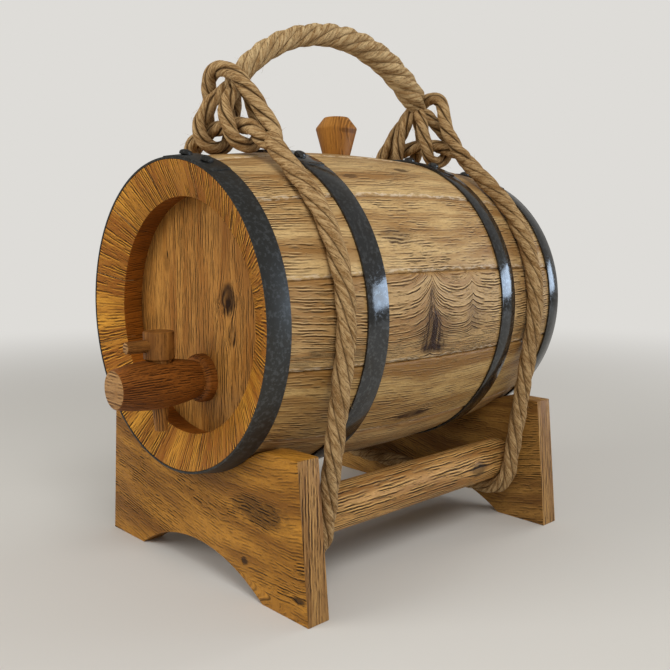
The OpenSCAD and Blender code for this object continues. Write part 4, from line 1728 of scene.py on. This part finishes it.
@dataclass
class Studio:
    """The floor, the lights, the world and the camera."""

    eye: Point = (438.8 * MM, -392.7 * MM, 221.3 * MM)
    target: Point = (-60.5 * MM, 74.9 * MM, 135.9 * MM)
    roll: float = -0.1
    lens: float = 43.667
    sensor: float = 36.0
    ground: Colour = tint(222, 220, 216)
    sky: Colour = tint(255, 252, 246)
    sky_power: float = 0.36
    aim: Point = (0, 0.02, 0.16)
    floor_r: float = 6.0
    floor_inset: float = 4.5

    def build(self) -> None:
        """Sets up all that isn't the object."""
        self.lay_floor()
        self.light("key", (0.8, -0.45, 1.0), (0.6, 0.6), 8.0)
        self.light("fill", (-0.5, -1.3, 0.6), (0.9, 0.9), 9.5)
        self.light("window", (0.984, 1.124, 0.36), (1.36, 0.34), 10, tint(206, 228, 255), Glow.MIRRORED)
        self.light("side", (0.95, 1.15, 0.3), (0.5, 0.5), 3.5, tint(226, 238, 255))
        self.light("back", (0.1, 1.1, 1.1), (0.5, 0.5), 3.0)
        self.paint_world()
        self.place_camera()
        bpy.context.scene.view_settings.view_transform = "Standard"

    def lay_floor(self) -> None:
        """Lays a wide pale floor."""
        bench = Bench("floor", "circle", vertices=96, radius=self.floor_r, fill_type="NGON")
        bpy.ops.mesh.inset(thickness=self.floor_inset)
        floor = bench.done()
        floor.data.materials.append(PaleFloor("pale floor", self.ground).material())

    def light(self, name: str, place: Point, size: tuple[float, float], power: float,
              colour: Colour = (1, 1, 1, 1), glow: Glow = Glow.LIT) -> None:
        """Hangs one soft lamp that faces the keg.

        Args:
            name: the lamp's name.
            place: where it hangs, in metres.
            size: width and height of the lamp.
            power: its power in watts.
            colour: its colour.
            glow: whether it lights surfaces or is mirrored by them.
        """
        lamp = bpy.data.lights.new(name, "AREA")
        lamp.shape = "RECTANGLE"
        lamp.size, lamp.size_y = size
        lamp.energy = power
        lamp.color = colour[:3]
        holder = bpy.data.objects.new(name, lamp)
        holder.location = place
        aim = Vector(self.aim) - Vector(place)
        holder.rotation_euler = aim.to_track_quat("-Z", "Y").to_euler()
        holder.visible_diffuse = glow is Glow.LIT
        holder.visible_glossy = glow is Glow.MIRRORED
        bpy.context.scene.collection.objects.link(holder)

    def paint_world(self) -> None:
        """Gives an even soft light, and a pale ground wherever the world itself is seen."""
        world = bpy.data.worlds.new("studio")
        world.use_nodes = True
        bpy.context.scene.world = world
        board = Board(world.node_tree)
        camera = board.node("LightPath", {}, {}, "Is Camera Ray")
        soft = board.node("Background", {}, {"Color": self.sky, "Strength": self.sky_power})
        pale = board.node("Background", {}, {"Color": self.ground, "Strength": 1.0})
        both = board.node("MixShader", {}, {0: camera, 1: soft, 2: pale})
        board.node("OutputWorld", {}, {"Surface": both})

    def place_camera(self) -> None:
        """Stands the camera where the photograph was taken from."""
        data = bpy.data.cameras.new("camera")
        data.sensor_width = self.sensor
        data.lens = self.lens
        data.clip_start = 0.01
        camera = bpy.data.objects.new("camera", data)
        camera.location = self.eye
        aim = (Vector(self.target) - Vector(self.eye)).to_track_quat("-Z", "Y").to_matrix()
        turn = Matrix.Rotation(math.radians(self.roll), 3, "Z")
        camera.rotation_euler = (aim @ turn).to_euler()
        bpy.context.scene.collection.objects.link(camera)
        bpy.context.scene.camera = camera


STAVE = Oak(
    "stave oak", tint(220, 188, 132), tint(152, 112, 64), tint(50, 28, 10),
    line=0.95, line_gap=1.9 * MM, dash=17 * MM, sway=8 * MM, wave=2.2 * MM, pore=0.85, relief=0.6 * MM,
    vary=0.25, lip=28.3 * MM)
CHIME = Oak(
    "chime oak", tint(222, 160, 58), tint(138, 82, 26), tint(40, 18, 4),
    line=0.9, line_gap=2.5 * MM, dash=18 * MM, sway=6 * MM, wave=2.6 * MM, busy=0.85, pore=0.95,
    relief=0.7 * MM, vary=0.8, seam=28.3 * MM)
INNER = Oak(
    "inner chime oak", tint(152, 88, 28), tint(118, 66, 18), tint(42, 20, 4),
    busy=0.9)
HEAD = Oak(
    "head oak", tint(194, 140, 70), tint(144, 92, 38), tint(38, 20, 6),
    line=1.0, line_gap=1.8 * MM, dash=22 * MM, sway=5 * MM, busy=0.75, pore=1.0, roughness=0.45,
    relief=0.45 * MM,
    knots=(Knot(11 * MM, 28.1 * MM, 12 * MM, 10 * MM, 0.9, 0.95, 0.3),
           Knot(-10.5 * MM, 31.7 * MM, 9 * MM, 6 * MM, 0.45),
           Knot(32.6 * MM, -41.5 * MM, 9 * MM, 4 * MM, 0.35)))
TAP = Oak(
    "tap oak", tint(150, 90, 36), tint(90, 48, 14), tint(36, 16, 4),
    line=0.85, busy=0.7, line_gap=1.6 * MM, dash=10 * MM, sway=1 * MM, wave=1.2 * MM, pore=0.9,
    relief=0.5 * MM)
CUT_END = Oak(
    "cut end oak", tint(178, 136, 86), tint(130, 90, 50), tint(70, 40, 16),
    line=0.9, busy=0.9, line_gap=2.0 * MM, sway=6 * MM, relief=0.4 * MM)
KEY = Oak(
    "key oak", tint(156, 106, 50), tint(100, 60, 24), tint(48, 24, 8),
    line=0.85, pore=0.9, line_gap=1.8 * MM, sway=4 * MM)
BUNG = Oak(
    "bung oak", tint(176, 120, 54), tint(138, 88, 36), tint(70, 38, 12),
    line=0.55, line_gap=2.2 * MM, pore=0.45, sway=4 * MM,
    knots=(Knot(40 * MM, 13.8 * MM, 2 * MM, 2 * MM, 0.5, 0.7),))
CRADLE = Oak(
    "front cradle oak", tint(186, 130, 48), tint(122, 78, 26), tint(30, 16, 6),
    line=1.0, line_gap=1.9 * MM, dash=12 * MM, sway=10 * MM, wave=2.4 * MM, busy=0.45, pore=0.95,
    relief=0.7 * MM,
    knots=(Knot(68 * MM, 50 * MM, 30 * MM, 12 * MM, 0.55, 0.2),
           Knot(52.4 * MM, 13.5 * MM, 4 * MM, 3 * MM, 0.85, 0.6),
           Knot(65 * MM, 10.5 * MM, 12 * MM, 0.9 * MM, 0.7, 0.0),
           Knot(103.6 * MM, 3.4 * MM, 7 * MM, 2.6 * MM, 0.8)))
REAR_CRADLE = replace(
    CRADLE, name="rear cradle oak", pale=tint(180, 134, 68), warm=tint(118, 80, 38), line=0.75, knots=())
BOARD_END = Oak(
    "board end oak", tint(196, 152, 90), tint(126, 86, 44), tint(52, 28, 12),
    line=0.95, busy=0.7, line_gap=2.2 * MM, dash=20 * MM, sway=4 * MM, pore=0.9, relief=0.6 * MM)
RUNG = Oak(
    "rung oak", tint(230, 180, 108), tint(140, 94, 46), tint(22, 11, 4),
    line=1.0, busy=0.85, line_gap=2.0 * MM, dash=32 * MM, sway=5 * MM, wave=2.0 * MM, pore=0.95,
    relief=0.7 * MM)
DOWEL = Oak("dowel oak", tint(190, 152, 104), tint(160, 120, 74), tint(110, 74, 40), gloss=0.3,
            reading=Reading.OBJECT)
STEEL = BlackSteel("black steel")
DULL_STEEL = BlackSteel("dull black steel", base=tint(68, 68, 66), roughness=0.5)
# A darker copy of the jute: painted shade for the slings and the knots.
SHADED_JUTE = Jute("worn jute", tint(192, 160, 114), tint(136, 102, 62), tint(54, 34, 16))


def stave_at(angle: float, middle: float, belly: float) -> float:
    """Place across a stave of an angle on the barrel, both in degrees."""
    return math.radians(angle - middle) * belly


def dress_hidden(oak: Oak) -> None:
    """Gives the dowels inside the heads their wood."""
    look = oak.material()
    for node in ("front_head_dowels", "rear_head_dowels"):
        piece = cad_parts[node]
        piece.data.materials.clear()
        piece.data.materials.append(look)
        LOG.info("%s: kept, in %s", node, oak.name)


def figured_staves(belly: float) -> dict[str, Oak]:
    """Finishes of the staves that have knots or a flame.

    Args:
        belly: the barrel's widest radius.

    Returns:
        The finishes by node.
    """
    flames = (Flame(-17 * MM, stave_at(-12, 0, belly), stave_at(12, 0, belly), 16 * MM, 9 * MM, 0.8),
              Flame(24 * MM, stave_at(-8, 0, belly), stave_at(12, 0, belly), 6 * MM, 7 * MM, 0.25))
    clouds = (Knot(-15 * MM, stave_at(-11.5, 0, belly), 15 * MM, 4 * MM, 0.5, 0.0),
              Knot(-14 * MM, stave_at(-4, 0, belly), 26 * MM, 15 * MM, 0.3, 0.0),
              Knot(27 * MM, stave_at(-1, 0, belly), 14 * MM, 12 * MM, 0.2, 0.0))
    high_knots = (Knot(13 * MM, stave_at(62, 60, belly), 9 * MM, 3 * MM),
                  Knot(-45 * MM, stave_at(55.5, 60, belly), 8 * MM, 2.5 * MM, 0.6))
    side_knot = Knot(-37 * MM, stave_at(28, 30, belly), 18 * MM, 7 * MM, 0.35, 0.5)
    low_knot = Knot(-8 * MM, stave_at(-39.5, -30, belly), 20 * MM, 5 * MM, 0.75)
    flamed = replace(STAVE, name="flame oak", dash=20 * MM, sway=5 * MM, line=1.0, busy=0.85)
    # stave_09, low on the barrel, takes a darker copy of the stave oak: painted shade of the barrel's lower
    # side.
    low = replace(STAVE, name="low knot oak", pale=tint(206, 172, 112), warm=tint(140, 100, 50))
    return {
        "stave_10": replace(flamed, flames=flames, knots=clouds),
        "stave_12": replace(STAVE, name="knotty oak", knots=high_knots),
        "stave_11": replace(STAVE, name="clouded oak", knots=(side_knot,)),
        "stave_09": replace(low, knots=(low_knot,)),
    }


def main() -> None:
    """Builds every sub-assembly in turn."""
    logging.basicConfig(level=logging.INFO, format="%(name)s: %(message)s")
    Studio().build()
    barrel = Barrel()
    barrel.build_staves(STAVE, CHIME, INNER, figured_staves(barrel.belly_r))
    barrel.build_heads(HEAD)
    barrel.build_hoops(STEEL, DULL_STEEL)
    dress_hidden(DOWEL)
    Bung().build(BUNG)
    Tap().build(TAP, CUT_END, KEY)
    stand = Stand()
    stand.build_cradles((CRADLE, REAR_CRADLE), BOARD_END, barrel.axis_z)
    stand.build_rungs(RUNG)
    RopeWork().build(Jute("jute"), SHADED_JUTE, barrel)


if __name__ == "__main__":
    main()
